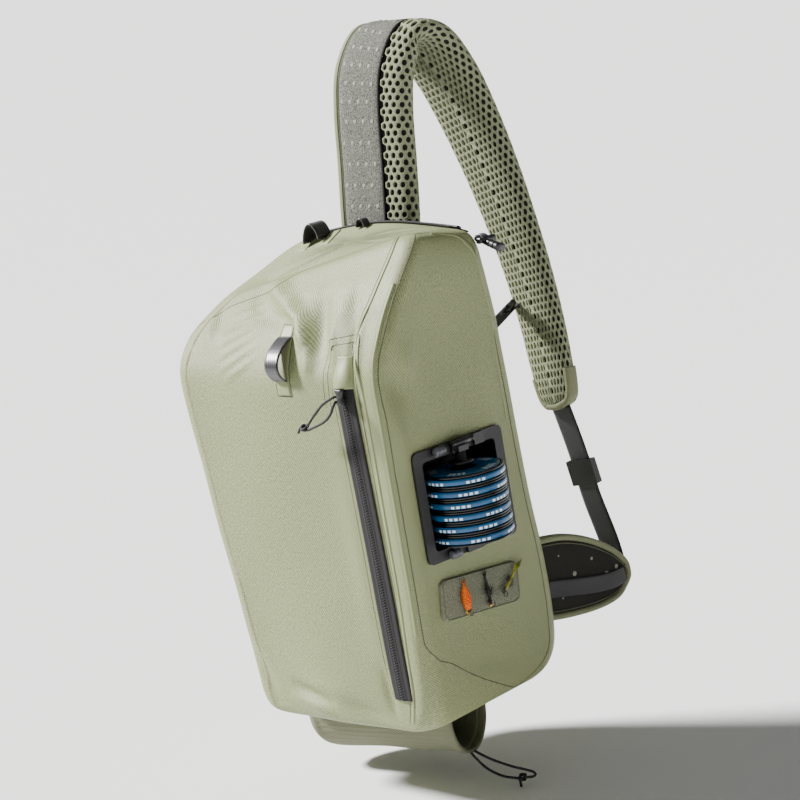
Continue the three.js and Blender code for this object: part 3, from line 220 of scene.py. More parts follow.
def grid_faces(rows: int, columns: int, round_rows: bool = False, round_columns: bool = False) -> Array:
    """The quads of a grid of rows by columns points, which may close on itself either way."""
    r = np.arange(rows if round_rows else rows - 1)[:, None]
    c = np.arange(columns if round_columns else columns - 1)[None, :]
    r2, c2 = (r + 1) % rows, (c + 1) % columns
    quads = np.stack([r * columns + c, r * columns + c2, r2 * columns + c2, r2 * columns + c], -1)
    return quads.reshape(-1, 4)


def between(low: Array, high: Array) -> tuple[Array, Array]:
    """Points and faces of the closed body between two grids of the same shape."""
    rows, columns = low.shape[:2]
    points = np.concatenate([low.reshape(-1, 3), high.reshape(-1, 3)])
    base = grid_faces(rows, columns)
    n = rows * columns
    index = np.arange(n).reshape(rows, columns)
    rim = np.concatenate([index[0, :-1], index[:-1, -1], index[-1, :0:-1], index[:0:-1, 0]])
    after = np.roll(rim, -1)
    sides = np.stack([rim, after, after + n, rim + n], -1)
    return points, np.concatenate([base[:, ::-1], base + n, sides])


def facing(points: Array, faces: Array) -> Array:
    """The faces, turned round if the closed surface they make is inside out.

    The volume is the sum over triangles of p . (q x r) / 6, and its sign says which.
    """
    p, q, r = (points[faces[:, k]] for k in (0, 1, 2))
    volume = (p * np.cross(q, r)).sum()
    if faces.shape[1] == 4:
        s = points[faces[:, 3]]
        volume += (p * np.cross(r, s)).sum()
    return faces if volume > 0 else faces[:, ::-1]


def end_fans(rings: int, sides: int) -> Array:
    """The triangles that close a tube's ends, round two middle points that follow its rings."""
    i = np.arange(sides)
    j = (i + 1) % sides
    last = (rings - 1) * sides
    first_middle, last_middle = np.full(sides, rings * sides), np.full(sides, rings * sides + 1)
    return np.concatenate([
        np.stack([j, i, first_middle, first_middle], -1),
        np.stack([last + i, last + j, last_middle, last_middle], -1),
    ])


def capped(rings: Array) -> tuple[Array, Array]:
    """Points and faces of a tube of (n, m, 3) rings, closed at the middles of its end rings."""
    n, m = rings.shape[:2]
    points = np.concatenate([rings.reshape(-1, 3), [rings[0].mean(0), rings[-1].mean(0)]])
    return points, np.concatenate([grid_faces(n, m, False, True), end_fans(n, m)])


def swept(
    name: str,
    path: Array,
    up: Array,
    profile: Array,
    material: Material,
    stands_for: tuple[str, ...] = (),
    scale: Array | float = 1.0,
    closed: bool = False,
) -> Piece:
    """A piece with a profile of (side, up) points carried along a path, its ends closed.

    Args:
        name: The piece's name.
        path: (n, 3) middle line.
        up: The profile's up direction, one or one for each point.
        profile: (m, 2) closed outline.
        material: Its material.
        stands_for: CAD nodes that it replaces.
        scale: The profile's size along the path.
        closed: True where the path is a ring.

    Returns:
        The piece, its pattern by length and girth in millimetres.
    """
    along = unit(np.gradient(path, axis=0))
    side = unit(np.cross(np.broadcast_to(up, path.shape), along))
    above = np.cross(along, side)
    k = np.broadcast_to(np.asarray(scale, float), (len(path),))[:, None, None]
    a, b = profile[None, :, :1] * k, profile[None, :, 1:] * k
    rings = path[:, None] + side[:, None] * a + above[:, None] * b
    n, m = rings.shape[:2]
    points = rings.reshape(-1, 3)
    length, girth = distances(path), distances(profile)
    uv = np.stack(np.broadcast_arrays(length[:, None], girth[None, :]), -1).reshape(-1, 2)
    faces = grid_faces(n, m, closed, True)
    if not closed:
        points = np.concatenate([points, [path[0], path[-1]]])
        uv = np.concatenate([uv, [[0, 0], [length[-1], 0]]])
        faces = np.concatenate([faces, end_fans(n, m)])
    return solid(name, points, facing(points, faces), material, uv, stands_for=stands_for)


def slab(
    name: str,
    places: Array,
    normals: Array,
    low: Array | float,
    high: Array | float,
    uv: Array,
    material: Material,
    slot: str,
    stands_for: tuple[str, ...] = (),
) -> Piece:
    """A closed sheet: a grid lifted along its normals to low and to high, and its four rims.

    Args:
        name: The piece's name.
        places: (rows, columns, 3) grid.
        normals: Unit normals of the grid.
        low: Height of the under side.
        high: Height of the upper side, a number or one for each place.
        uv: The pattern coordinates of both sides.
        material: Its material.
        slot: Not used.
        stands_for: CAD nodes that it replaces.

    Returns:
        The piece.
    """
    sheets = [
        places + normals * np.broadcast_to(np.asarray(lift, float), places.shape[:2])[..., None]
        for lift in (low, high)
    ]
    points, faces = between(*sheets)
    both = np.concatenate([uv.reshape(-1, 2)] * 2)
    return solid(name, points, facing(points, faces), material, both, stands_for=stands_for)


def round_profile(width: float, height: float, sides: int, power: float = 1.0) -> Array:
    """An oval outline. Each coordinate is half its size times sine or cosine to a power."""
    angle = 2 * np.pi * (np.arange(sides) + 0.5) / sides
    c, s = np.cos(angle), np.sin(angle)
    return np.stack(
        [width / 2 * np.sign(c) * abs(c) ** power, height / 2 * np.sign(s) * abs(s) ** power], -1
    )


def spline(points: list | Array, count: int) -> Array:
    """A smooth curve through chosen points, evenly spaced.

    Args:
        points: The chosen points.
        count: How many points come back.

    Returns:
        (count, 3) points on the curve.
    """
    table = Table("x y z", tuple(map(tuple, np.asarray(points, float))))
    fine = table.at(np.linspace(0, 1, 40 * len(points)))
    curve = np.stack([fine["x"], fine["y"], fine["z"]], -1)
    length = distances(curve)
    where = np.linspace(0, length[-1], count)
    return np.stack([np.interp(where, length, curve[:, k]) for k in range(3)], -1)


def turned(
    name: str,
    profile: list,
    sides: int,
    centre: tuple[float, float, float] | Array,
    material: Material,
    stands_for: tuple[str, ...] = (),
    body: str = BAG,
    axis: int = 2,
    shift: tuple[float, float] = (0.0, 0.0),
) -> Piece:
    """A profile of (radius, height) pairs turned round an axis: (r cos a, r sin a, h).

    Args:
        name: The piece's name.
        profile: The closed or open outline, from one end to the other.
        sides: Steps round the axis.
        centre: Where the profile's zero height lies.
        material: Its material.
        stands_for: CAD nodes that it replaces.
        body: The body that it rides on.
        axis: 0, 1 or 2 for X, Y or Z.
        shift: Added to its (turn, profile length) pattern coordinates.

    Returns:
        The piece, welded.
    """
    outline = np.array(profile, float)
    angle = 2 * np.pi * np.arange(sides + 1) / sides
    r, h = outline[:, 0][:, None], outline[:, 1][:, None]
    shape = np.broadcast_arrays(r * np.cos(angle), r * np.sin(angle), h + 0 * angle)
    order = ((2, 0, 1), (1, 2, 0), (0, 1, 2))[axis]
    points = np.stack([shape[k] for k in order], -1).reshape(-1, 3) + np.array(centre)
    run = distances(outline)
    uv = np.stack(np.broadcast_arrays(angle[None, :] / (2 * np.pi), run[:, None]), -1).reshape(-1, 2)
    faces = grid_faces(len(outline), sides + 1)
    piece = solid(name, points, faces, material, uv + np.array(shift), body, stands_for)
    weld(piece)
    return piece


def weld(piece: Piece, distance_mm: float = 0.01) -> None:
    """Merges doubles and turns every face of a closed piece outwards."""
    work = bmesh.new()
    work.from_mesh(piece.data)
    bmesh.ops.remove_doubles(work, verts=work.verts, dist=distance_mm / 1000)
    bmesh.ops.dissolve_degenerate(work, edges=work.edges, dist=distance_mm / 10000)
    bmesh.ops.recalc_face_normals(work, faces=work.faces)
    work.to_mesh(piece.data)
    work.free()
    piece.data.update()


# Finishes


def linear(colour: str) -> tuple[float, float, float, float]:
    """An sRGB hex colour as linear red, green, blue and alpha."""
    values = np.array([int(colour[i : i + 2], 16) / 255 for i in (1, 3, 5)])
    low = values / 12.92
    high = ((values + 0.055) / 1.055) ** 2.4
    return (*np.where(values <= 0.04045, low, high).tolist(), 1.0)


def add(tree: Tree, kind: str, links: dict | None = None, **settings: object) -> Node:
    """Adds a node.

    Args:
        tree: The node tree.
        kind: The node's type name.
        links: Input name or number to a value, or to (node, output name or number).
        settings: Attributes of the node.

    Returns:
        The node.
    """
    node = tree.nodes.new(kind)
    for name, value in settings.items():
        setattr(node, name, value)
    for name, value in (links or {}).items():
        if isinstance(value, tuple) and len(value) == 2 and isinstance(value[0], Node):
            tree.links.new(value[0].outputs[value[1]], node.inputs[name])
        else:
            node.inputs[name].default_value = value
    return node


def blank(name: str) -> tuple[Material, Tree, Node]:
    """A new material with one Principled shader, and its tree."""
    material = bpy.data.materials.new(name)
    material.use_nodes = True
    tree = material.node_tree
    tree.nodes.clear()
    shader = add(tree, "ShaderNodeBsdfPrincipled")
    add(tree, "ShaderNodeOutputMaterial", {"Surface": (shader, 0)})
    return material, tree, shader


def maths(tree: Tree, operation: str, first: tuple, second: tuple | float | None = None) -> tuple:
    """The output of a new Math node of one or two inputs."""
    links = {0: first} if second is None else {0: first, 1: second}
    return add(tree, "ShaderNodeMath", links, operation=operation), 0


def blend_colours(tree: Tree, share: tuple, low: str, high: str) -> Node:
    """A mix of two hex colours by a share from another node."""
    return add(tree, "ShaderNodeMix", {0: share, 6: linear(low), 7: linear(high)}, data_type="RGBA")


def bump(tree: Tree, shader: Node, height: tuple, depth_mm: float) -> None:
    """Gives a shader a bump from a height of 0 to 1, of a depth in millimetres."""
    node = add(tree, "ShaderNodeBump", {"Strength": 1.0, "Distance": depth_mm / 1000, "Height": height})
    tree.links.new(node.outputs[0], shader.inputs["Normal"])


def ripple(tree: Tree, value: tuple, pitch: float) -> tuple:
    """sin(2 pi value / pitch) of a coordinate."""
    return maths(tree, "SINE", maths(tree, "MULTIPLY", value, 2 * math.pi / pitch))


@dataclass(frozen=True)
class Woven:
    """Woven or knitted cloth: a crossing thread pattern on the piece's own UV, in millimetres."""

    name: str
    light: str
    dark: str
    thread_u: float
    thread_v: float
    relief: float
    roughness: float = 0.75
    mottle: float = 0.35
    sheen: float = 0.0
    mottle_scale: float = 0.5

    def make(self) -> Material:
        """The threads are the product of two sines, broken up by noise of the thread's size."""
        material, tree, shader = blank(self.name)
        uv = add(tree, "ShaderNodeUVMap", uv_map="cloth")
        split = add(tree, "ShaderNodeSeparateXYZ", {0: (uv, 0)})
        across = ripple(tree, (split, 0), self.thread_u)
        up = ripple(tree, (split, 1), self.thread_v)
        cross = maths(tree, "MULTIPLY", across, up)
        weave = add(tree, "ShaderNodeMapRange", {0: cross, 1: -1.0, 2: 1.0})
        fine = add(
            tree, "ShaderNodeTexNoise",
            {"Vector": (uv, 0), "Scale": self.mottle_scale, "Detail": 4.0, "Roughness": 0.7},
        )
        share = add(
            tree, "ShaderNodeMix", {0: self.mottle, 2: (weave, 0), 3: (fine, 0)}, data_type="FLOAT"
        )
        ramp = add(tree, "ShaderNodeMapRange", {0: (share, 0), 1: 0.25, 2: 0.75})
        colour = blend_colours(tree, (ramp, 0), self.dark, self.light)
        tree.links.new(colour.outputs[2], shader.inputs["Base Color"])
        shader.inputs["Roughness"].default_value = self.roughness
        shader.inputs["Sheen Weight"].default_value = self.sheen
        bump(tree, shader, (share, 0), self.relief)
        return material


@dataclass(frozen=True)
class Moulded:
    """Moulded plastic: one colour, faint clouding and a fine spark-eroded grain."""

    name: str
    colour: str
    worn: str
    roughness: float = 0.45
    grain_mm: float = 0.9
    relief: float = 0.05
    metallic: float = 0.0

    def make(self) -> Material:
        """Two noises on Object coordinates: a slow one for colour and a fine one for grain."""
        material, tree, shader = blank(self.name)
        where = add(tree, "ShaderNodeTexCoord")
        slow = add(tree, "ShaderNodeTexNoise", {"Vector": (where, 3), "Scale": 60.0, "Detail": 3.0})
        colour = blend_colours(tree, (slow, 0), self.colour, self.worn)
        tree.links.new(colour.outputs[2], shader.inputs["Base Color"])
        fine = add(
            tree, "ShaderNodeTexNoise",
            {"Vector": (where, 3), "Scale": 1000 / self.grain_mm, "Detail": 2.0},
        )
        rough = add(
            tree, "ShaderNodeMapRange", {0: (slow, 0), 3: self.roughness - 0.08, 4: self.roughness + 0.1}
        )
        tree.links.new(rough.outputs[0], shader.inputs["Roughness"])
        shader.inputs["Metallic"].default_value = self.metallic
        bump(tree, shader, (fine, 0), self.relief)
        return material


@dataclass(frozen=True)
class Fibrous:
    """Pile, fur and heather yarn: strong small noise in two colours on Object coordinates."""

    name: str
    light: str
    dark: str
    size_mm: float
    relief: float
    roughness: float = 0.95

    def make(self) -> Material:
        """One noise, pulled to high contrast, gives both the colour and the bump."""
        material, tree, shader = blank(self.name)
        where = add(tree, "ShaderNodeTexCoord")
        noise = add(
            tree, "ShaderNodeTexNoise",
            {"Vector": (where, 3), "Scale": 1000 / self.size_mm, "Detail": 4.0, "Roughness": 0.65},
        )
        sharp = add(tree, "ShaderNodeMapRange", {0: (noise, 0), 1: 0.35, 2: 0.65})
        colour = blend_colours(tree, (sharp, 0), self.dark, self.light)
        tree.links.new(colour.outputs[2], shader.inputs["Base Color"])
        shader.inputs["Roughness"].default_value = self.roughness
        bump(tree, shader, (sharp, 0), self.relief)
        return material


@dataclass(frozen=True)
class Printed:
    """A smooth blue printed label under clear film, with plain white dashes round it."""

    name: str
    colour: str
    deep: str
    dashes: float
    low: float
    high: float

    def make(self) -> Material:
        """U is the turn round the rim and V the place across it. A dash shows where the
        fraction of U times the dash count is small and V lies between two limits."""
        material, tree, shader = blank(self.name)
        uv = add(tree, "ShaderNodeUVMap", uv_map="cloth")
        split = add(tree, "ShaderNodeSeparateXYZ", {0: (uv, 0)})
        turns = maths(tree, "MULTIPLY", (split, 0), self.dashes)
        group = maths(tree, "LESS_THAN", maths(tree, "FRACT", turns), 0.5)
        tick = maths(tree, "FRACT", maths(tree, "MULTIPLY", turns, 8.0))
        thin = maths(tree, "LESS_THAN", tick, 0.62)
        above = maths(tree, "GREATER_THAN", (split, 1), self.low)
        below = maths(tree, "LESS_THAN", (split, 1), self.high)
        band = maths(tree, "MULTIPLY", above, below)
        shown = maths(tree, "MULTIPLY", maths(tree, "MULTIPLY", group, thin), band)
        where = add(tree, "ShaderNodeTexCoord")
        slow = add(tree, "ShaderNodeTexNoise", {"Vector": (where, 3), "Scale": 90.0, "Detail": 2.0})
        ground = blend_colours(tree, (slow, 0), self.deep, self.colour)
        colour = add(
            tree, "ShaderNodeMix", {0: shown, 6: (ground, 2), 7: linear("#d8e4ea")},
            data_type="RGBA",
        )
        tree.links.new(colour.outputs[2], shader.inputs["Base Color"])
        shader.inputs["Roughness"].default_value = 0.28
        return material


def sleek(name: str, colour: str, roughness: float) -> Material:
    """A plain smooth finish with faint clouding, for small trim and the floor."""
    return Moulded(name, colour, colour, roughness, 2.0, 0.02).make()


class Finishes:
    """Every finish of the bag, most named for the real material; the seam line, the wing's knit and the
    pad under the mesh are painted shade.
    """

    def __init__(self) -> None:
        """Makes them all."""
        # TPU-coated nylon: a matt skin that lets its plain weave show. Its threads are 0.5 mm
        # apart, and are drawn at 1.25 mm, because anything finer is lost at this picture's size.
        self.cloth = Woven(
            "tpu_coated_nylon", "#a5ac79", "#3f4426", 2.5, 2.5, 0.6, 0.55, 0.62, 0.0, 0.42
        ).make()
        # The same cloth welded double, a little smoother and paler.
        self.welt = Woven("welded_cloth_edge", "#949b6e", "#6d734c", 2.2, 2.2, 0.2, 0.5, 0.55).make()
        self.seam = sleek("seam_shadow_line", "#4b4d38", 0.85)
        # Polyurethane-coated zip tape: dull, charcoal, with a fine rib.
        self.tape = Woven("coated_zip_tape", "#1b1718", "#0b090a", 1.6, 3.2, 0.12, 0.85, 0.4).make()
        self.teeth = Moulded("nylon_zip_coil", "#131113", "#222023", 0.55, 0.6, 0.05).make()
        # Nylon webbing: ribs run along it and cross threads show as a fine twill.
        self.webbing = Woven("nylon_webbing", "#1a181c", "#0a090b", 1.5, 2.4, 0.3, 0.6, 0.3, 0.05).make()
        self.loop = Woven(
            "glossy_nylon_webbing", "#221f24", "#060507", 2.6, 9.0, 0.12, 0.3, 0.25, 0.2
        ).make()
        self.cord = Woven("braided_polyester_cord", "#1b191b", "#080709", 1.6, 1.6, 0.2, 0.7, 0.2).make()
        self.plastic = Moulded("moulded_acetal", "#0d0c0e", "#18161a", 0.36).make()
        self.tray = Moulded("moulded_polypropylene", "#0e0d0f", "#171518", 0.5, 1.2, 0.06).make()
        self.spool = Moulded("moulded_polystyrene", "#060709", "#0d0e11", 0.22, 1.5, 0.02).make()
        self.barrel = Moulded("grey_acetal", "#3d3f44", "#5a5c61", 0.3).make()
        self.label = Printed("printed_blue_film", "#0b6093", "#04385c", 6.0, 1.6, 3.9).make()
        self.card = Printed("printed_blue_card", "#1173a8", "#084a74", 5.0, 12.0, 19.0).make()
        self.pile = Fibrous("nylon_pile", "#8f917b", "#585a47", 1.2, 0.5).make()
        self.foam = Fibrous("orange_foam_and_fur", "#ff8a00", "#d84400", 1.1, 0.3, 0.5).make()
        self.yellow = Fibrous("yellow_fur", "#ffd420", "#e09000", 0.8, 0.3).make()
        self.thread = Fibrous("black_fur", "#3a332c", "#0b0a09", 0.6, 0.3).make()
        self.olive = Fibrous("olive_fur", "#c4c23a", "#5c5a14", 0.7, 0.3).make()
        self.hackle = Fibrous("grey_hackle", "#6a6c68", "#2e302e", 0.5, 0.2).make()
        self.bead = Moulded("gilt_bead", "#c79a3a", "#e0b960", 0.25, 1.0, 0.01, 1.0).make()
        # Spacer mesh: thick soft polyester yarn round open holes.
        self.mesh = Fibrous("polyester_spacer_mesh", "#949a7c", "#777b5e", 1.0, 0.25, 0.9).make()
        # The pad under the mesh: near-black, painted shade for the depth of the mesh's holes.
        self.core = Fibrous("pad_painted_as_mesh_hole_shade", "#111109", "#070704", 2.0, 0.2).make()
        # Heather jersey knit: grey and pale yarn twisted together.
        self.knit = Fibrous("heather_jersey", "#7a7b70", "#24241d", 1.3, 0.3, 0.92).make()
        self.dot = sleek("pale_printed_dot", "#77796a", 0.7)
        # The wing's face: the strap's grey knit painted near-black, as the shade that it lies in.
        self.wing_knit_in_shade = Fibrous("jersey_painted_in_shade", "#16150a", "#080803", 1.2, 0.3, 0.95).make()
        self.binding = Woven(
            "folded_cloth_binding", "#7e8160", "#5d6043", 1.8, 1.8, 0.1, 0.75, 0.5
        ).make()
        self.rib = Woven("ribbed_stretch_knit", "#7c7e66", "#54563f", 1.7, 3.4, 0.4, 0.9, 0.25).make()
        self.hem = Woven("folded_knit_hem", "#76785f", "#54563f", 1.7, 2.0, 0.2, 0.85, 0.4).make()
        self.floor = sleek("matt_pale_floor", "#e8e8e7", 0.9)


# The body

BODY_PLAN = Table(
    "left right frontL frontR back cornerL cornerR",
    (
        (-0.36, 0.333, -0.385, -0.375, 0.35, 0.17, 0.13),
        (-0.415, 0.38, -0.42, -0.412, 0.44, 0.19, 0.13),
        (-0.437, 0.407, -0.43, -0.425, 0.495, 0.19, 0.12),
        (-0.448, 0.42, -0.43, -0.428, 0.52, 0.19, 0.1),
        (-0.468, 0.4233, -0.43, -0.428, 0.525, 0.19, 0.09),
        (-0.489, 0.4233, -0.43, -0.425, 0.51, 0.19, 0.08),
        (-0.512, 0.4233, -0.43, -0.425, 0.485, 0.18, 0.08),
        (-0.535, 0.4233, -0.43, -0.425, 0.47, 0.18, 0.08),
        (-0.562, 0.4233, -0.43, -0.425, 0.46, 0.18, 0.08),
        (-0.578, 0.4233, -0.42, -0.42, 0.45, 0.18, 0.08),
        (-0.575, 0.4233, -0.38, -0.378, 0.445, 0.18, 0.08),
        (-0.562, 0.4233, -0.31, -0.292, 0.43, 0.18, 0.08),
        (-0.53, 0.4217, -0.22, -0.19, 0.415, 0.17, 0.08),
        (-0.487, 0.413, -0.14, -0.09, 0.405, 0.15, 0.075),
        (-0.427, 0.393, -0.08, -0.035, 0.38, 0.12, 0.07),
        (-0.333, 0.347, -0.01, 0.035, 0.31, 0.08, 0.06),
    ),
)
BODY_LEVELS = Table(
    "frontL frontR backL backR bulge crown",
    (
        (0, 0.007, 0.002, 0.025, 0.2, 0),
        (0.011, 0.017, 0.014, 0.036, 0.5, 0),
        (0.039, 0.043, 0.041, 0.062, 0.8, 0),
        (0.091, 0.095, 0.095, 0.109, 1, 0),
        (0.193, 0.193, 0.193, 0.2, 1, 0),
        (0.3, 0.3, 0.3, 0.3, 1, 0),
        (0.41, 0.41, 0.41, 0.41, 1, 0),
        (0.53, 0.53, 0.53, 0.53, 1, 0),
        (0.65, 0.65, 0.65, 0.65, 1, 0),
        (0.735, 0.74, 0.735, 0.735, 0.9, 0),
        (0.778, 0.8, 0.79, 0.79, 0.7, 0),
        (0.815, 0.864, 0.84, 0.845, 0.5, 0.1),
        (0.846, 0.922, 0.89, 0.9, 0.3, 0.4),
        (0.87, 0.972, 0.932, 0.945, 0.2, 0.8),
        (0.886, 0.995, 0.957, 0.972, 0.1, 1),
        (0.9, 1, 0.968, 0.985, 0, 1),
    ),
)
# Soft folds of the cloth. side is 0 for the front and 1 for the right side. Each runs from (a0, z0)
# to (a1, z1) in millimetres, a across the face, and is pushed in where its depth is above 0.
FOLDS = Table(
    "side a0 z0 a1 z1 width depth",
    (
        (0, -66, 406, -20, 390, 8, -8.0),
        (0, -20, 390, 8, 379, 6.5, -8.0),
        (0, 8, 379, 31, 356, 6.5, -9.0),
        (0, 31, 356, 36, 332, 8, -3.5),
        (0, -84, 396, -46, 377, 10, 4.5),
        (0, -46, 377, -12, 373, 7, 4.0),
        (0, 26, 394, 50, 346, 12, 9.0),
        (0, 56, 396, 72, 356, 14, -3.5),
        (0, -100, 374, -54, 387, 3.2, -1.8),
        (0, -102, 364, -50, 380, 3.2, -2.0),
        (0, -100, 354, -46, 373, 3.4, -2.1),
        (0, -94, 344, -44, 365, 3.6, -2.0),
        (0, -88, 334, -40, 356, 3.8, -1.8),
        (0, -82, 324, -38, 346, 4.0, -1.4),
        (0, -128, 384, -106, 364, 6, 3.0),
        (0, -132, 372, -114, 352, 6, -2.4),
        (0, 58, 376, 68, 346, 4.5, -3.0),
        (0, 86, 374, 92, 330, 4.5, 3.2),
        (0, 95, 384, 99, 322, 4, -2.6),
        (0, 70, 404, 84, 372, 8, 3.0),
        (0, -100, 250, -80, 120, 50, -2.5),
        (0, 10, 260, 20, 120, 60, 3.4),
        (0, 60, 250, 68, 80, 14, -1.6),
        (0, -56, 36, -4, 24, 6, 4.2),
        (0, -60, 24, -10, 13, 6, -3.2),
        (0, -30, 44, 24, 34, 8, -2.0),
        (0, 20, 26, 64, 16, 8, 3.2),
        (0, 70, 62, 76, 20, 6, 2.6),
        (0, -116, 64, -90, 20, 10, 3.2),
        (1, -62, 340, -52, 300, 14, 6.5),
        (1, -36, 356, -44, 322, 13, -3.0),
        (1, -66, 296, -60, 250, 9, -2.2),
        (1, -20, 380, 10, 300, 40, 3.0),
        (1, -40, 100, 20, 60, 26, 2.2),
        (1, -30, 62, 40, 40, 13, 2.6),
        (1, 34, 340, 50, 270, 12, -1.8),
    ),
)


@dataclass
class BodyForm:
    """The body's outer skin as a function of a place q round a ring and a height share t.

    q counts the eight segments of a ring from the left end of the front. Sides are straight
    with a cosine swell, and corners are quarter rounds. Heights come from the four corners'
    heights, mixed across the ring's plan, plus a crowned top.
    """

    front_bulge: float = 7.0
    back_bulge: float = 4.0
    top_crown: float = 10.0

    def heights(self, t: Array, u: Array, v: Array) -> Array:
        """Heights in a section at shares u across and v from front to back."""
        level = BODY_LEVELS.at(t)
        front = mix(level["frontL"], level["frontR"], u)
        back = mix(level["backL"], level["backR"], u)
        return HEIGHT * mix(front, back, v) + self.top_crown * level["crown"] * np.sin(np.pi * u) * v

    def ring(self, q: Array, t: Array, shrink: Array | float = 1.0) -> Array:
        """Points of the skin, without its folds.

        Args:
            q: Places round the ring, 0 to 8.
            t: Height shares.
            shrink: 1 on the skin, and down to 0 at the middle of an end cap.

        Returns:
            Points, in millimetres.
        """
        q, t = np.broadcast_arrays(np.asarray(q, float), np.asarray(t, float))
        plan, level = BODY_PLAN.at(t), BODY_LEVELS.at(t)
        left, right = plan["left"] * WIDTH, plan["right"] * WIDTH
        front_l, front_r = plan["frontL"] * DEPTH, plan["frontR"] * DEPTH
        front, back = (front_l + front_r) / 2, plan["back"] * DEPTH
        rl, rr = plan["cornerL"] * DEPTH, plan["cornerR"] * DEPTH
        segment = np.clip(np.floor(q), 0, 7).astype(int)
        s = q - segment
        swell = 0.5 - 0.5 * np.cos(2 * np.pi * s)
        turn = np.radians(90 * s)
        sin, cos = np.sin(turn), np.cos(turn)
        x = np.choose(segment, [
            mix(left + rl, right - rr, s), right - rr + rr * sin, right + 0 * s, right - rr + rr * cos,
            mix(right - rr, left + rl, s), left + rl - rl * sin, left + 0 * s, left + rl - rl * cos,
        ])
        y = np.choose(segment, [
            front - self.front_bulge * level["bulge"] * swell, front + rr - rr * cos,
            mix(front + rr, back - rr, s), back - rr + rr * sin,
            back + self.back_bulge * level["bulge"] * swell, back - rl + rl * cos,
            mix(back - rl, front + rl, s), front + rl - rl * sin,
        ])
        middle_x, middle_y = (left + right) / 2, (front + back) / 2
        x = middle_x + (x - middle_x) * shrink
        y = middle_y + (y - middle_y) * shrink
        u = np.clip((x - left) / (right - left), 0, 1)
        v = np.clip((y - front) / (back - front), 0, 1)
        z = self.heights(t, u, v)
        return np.stack([x, y + (mix(front_l, front_r, u) - front) * (1 - v), z], -1)

    def folded(self, points: Array) -> Array:
        """The points with every fold pushed in or out along its face's normal.

        A fold's depth falls off as a bell across its line and past its ends, and fades where
        the skin turns away from the face.
        """
        out = np.array(points, float)
        for side, a0, z0, a1, z1, width, depth in FOLDS.rows:
            across = out[..., 1] if side else out[..., 0]
            d = np.array([a1 - a0, z1 - z0])
            reach = np.linalg.norm(d)
            rel = np.stack([across - a0, out[..., 2] - z0], -1)
            s = np.clip((rel @ d) / reach**2, 0, 1)
            gap = np.linalg.norm(rel - s[..., None] * d, axis=-1)
            # At its ends a fold still has sin(0.12 pi) of its depth.
            ends = np.sin(np.pi * np.clip(0.12 + 0.76 * s, 0, 1))
            faced = smooth(108, 124, out[..., 0]) if side else smooth(-4, 26, -out[..., 1])
            amount = depth * np.exp(-((gap / width) ** 2) * 1.3) * ends * faced
            out[..., 0 if side else 1] += -amount if side else amount
        return out

    def skin(self, q: Array, t: Array) -> Array:
        """Points of the folded skin."""
        return self.folded(self.ring(q, t))

    def normal(self, q: Array, t: Array) -> Array:
        """Outward unit normals: the cross product of steps along q and t."""
        dq, dt = 0.01, 0.002
        step_q = self.skin(np.mod(q + dq, 8), t) - self.skin(np.mod(q - dq, 8), t)
        step_t = self.skin(q, np.clip(t + dt, 0, 1)) - self.skin(q, np.clip(t - dt, 0, 1))
        return unit(np.cross(step_q, step_t))

    def find(self, face: Face, a: Array, z: Array) -> tuple[Array, Array]:
        """The (q, t) of places on a face, by repeated straight-line steps.

        Args:
            face: FRONT, RIGHT or BACK.
            a: X on the front and back, Y on the side.
            z: Heights.

        Returns:
            q and t.
        """
        k = 1 if face is Face.RIGHT else 0
        step, edge = 0.01, 0.985
        a, z = np.broadcast_arrays(np.asarray(a, float), np.asarray(z, float))
        q, t = np.full(a.shape, face.value + 0.5), np.full(a.shape, 0.5)
        for _ in range(14):
            here = self.ring(q, t)
            dq = (self.ring(q + step, t)[..., k] - here[..., k]) / step
            dt = (self.ring(q, t + step)[..., 2] - here[..., 2]) / step
            q = np.clip(q + np.clip((a - here[..., k]) / dq, -0.3, 0.3), face.value, face.value + edge)
            t = np.clip(t + np.clip((z - here[..., 2]) / dt, -0.1, 0.1), 0, edge)
        return q, t

    def on(self, face: Face, a: Array, z: Array) -> tuple[Array, Array]:
        """Points and normals of places on a face."""
        q, t = self.find(face, a, z)
        return self.skin(q, t), self.normal(q, t)

    def top(self, x: Array, y: Array) -> tuple[Array, Array]:
        """Points and normals of places on the top panel, from the last section's heights."""
        def height(px: Array, py: Array) -> Array:
            """The last section's height at places across the plan."""
            one = np.ones_like(px)
            plan = BODY_PLAN.at(one)
            left, right = plan["left"] * WIDTH, plan["right"] * WIDTH
            front = (plan["frontL"] + plan["frontR"]) / 2 * DEPTH
            u = np.clip((px - left) / (right - left), 0, 1)
            v = np.clip((py - front) / (plan["back"] * DEPTH - front), 0, 1)
            return self.heights(one, u, v)

        x, y = np.broadcast_arrays(np.asarray(x, float), np.asarray(y, float))
        z = height(x, y)
        slope_x = (height(x + 1, y) - height(x - 1, y)) / 2
        slope_y = (height(x, y + 1) - height(x, y - 1)) / 2
        normal = unit(np.stack([-slope_x, -slope_y, np.ones_like(z)], -1))
        return np.stack([x, y, z], -1), normal


FORM = BodyForm()


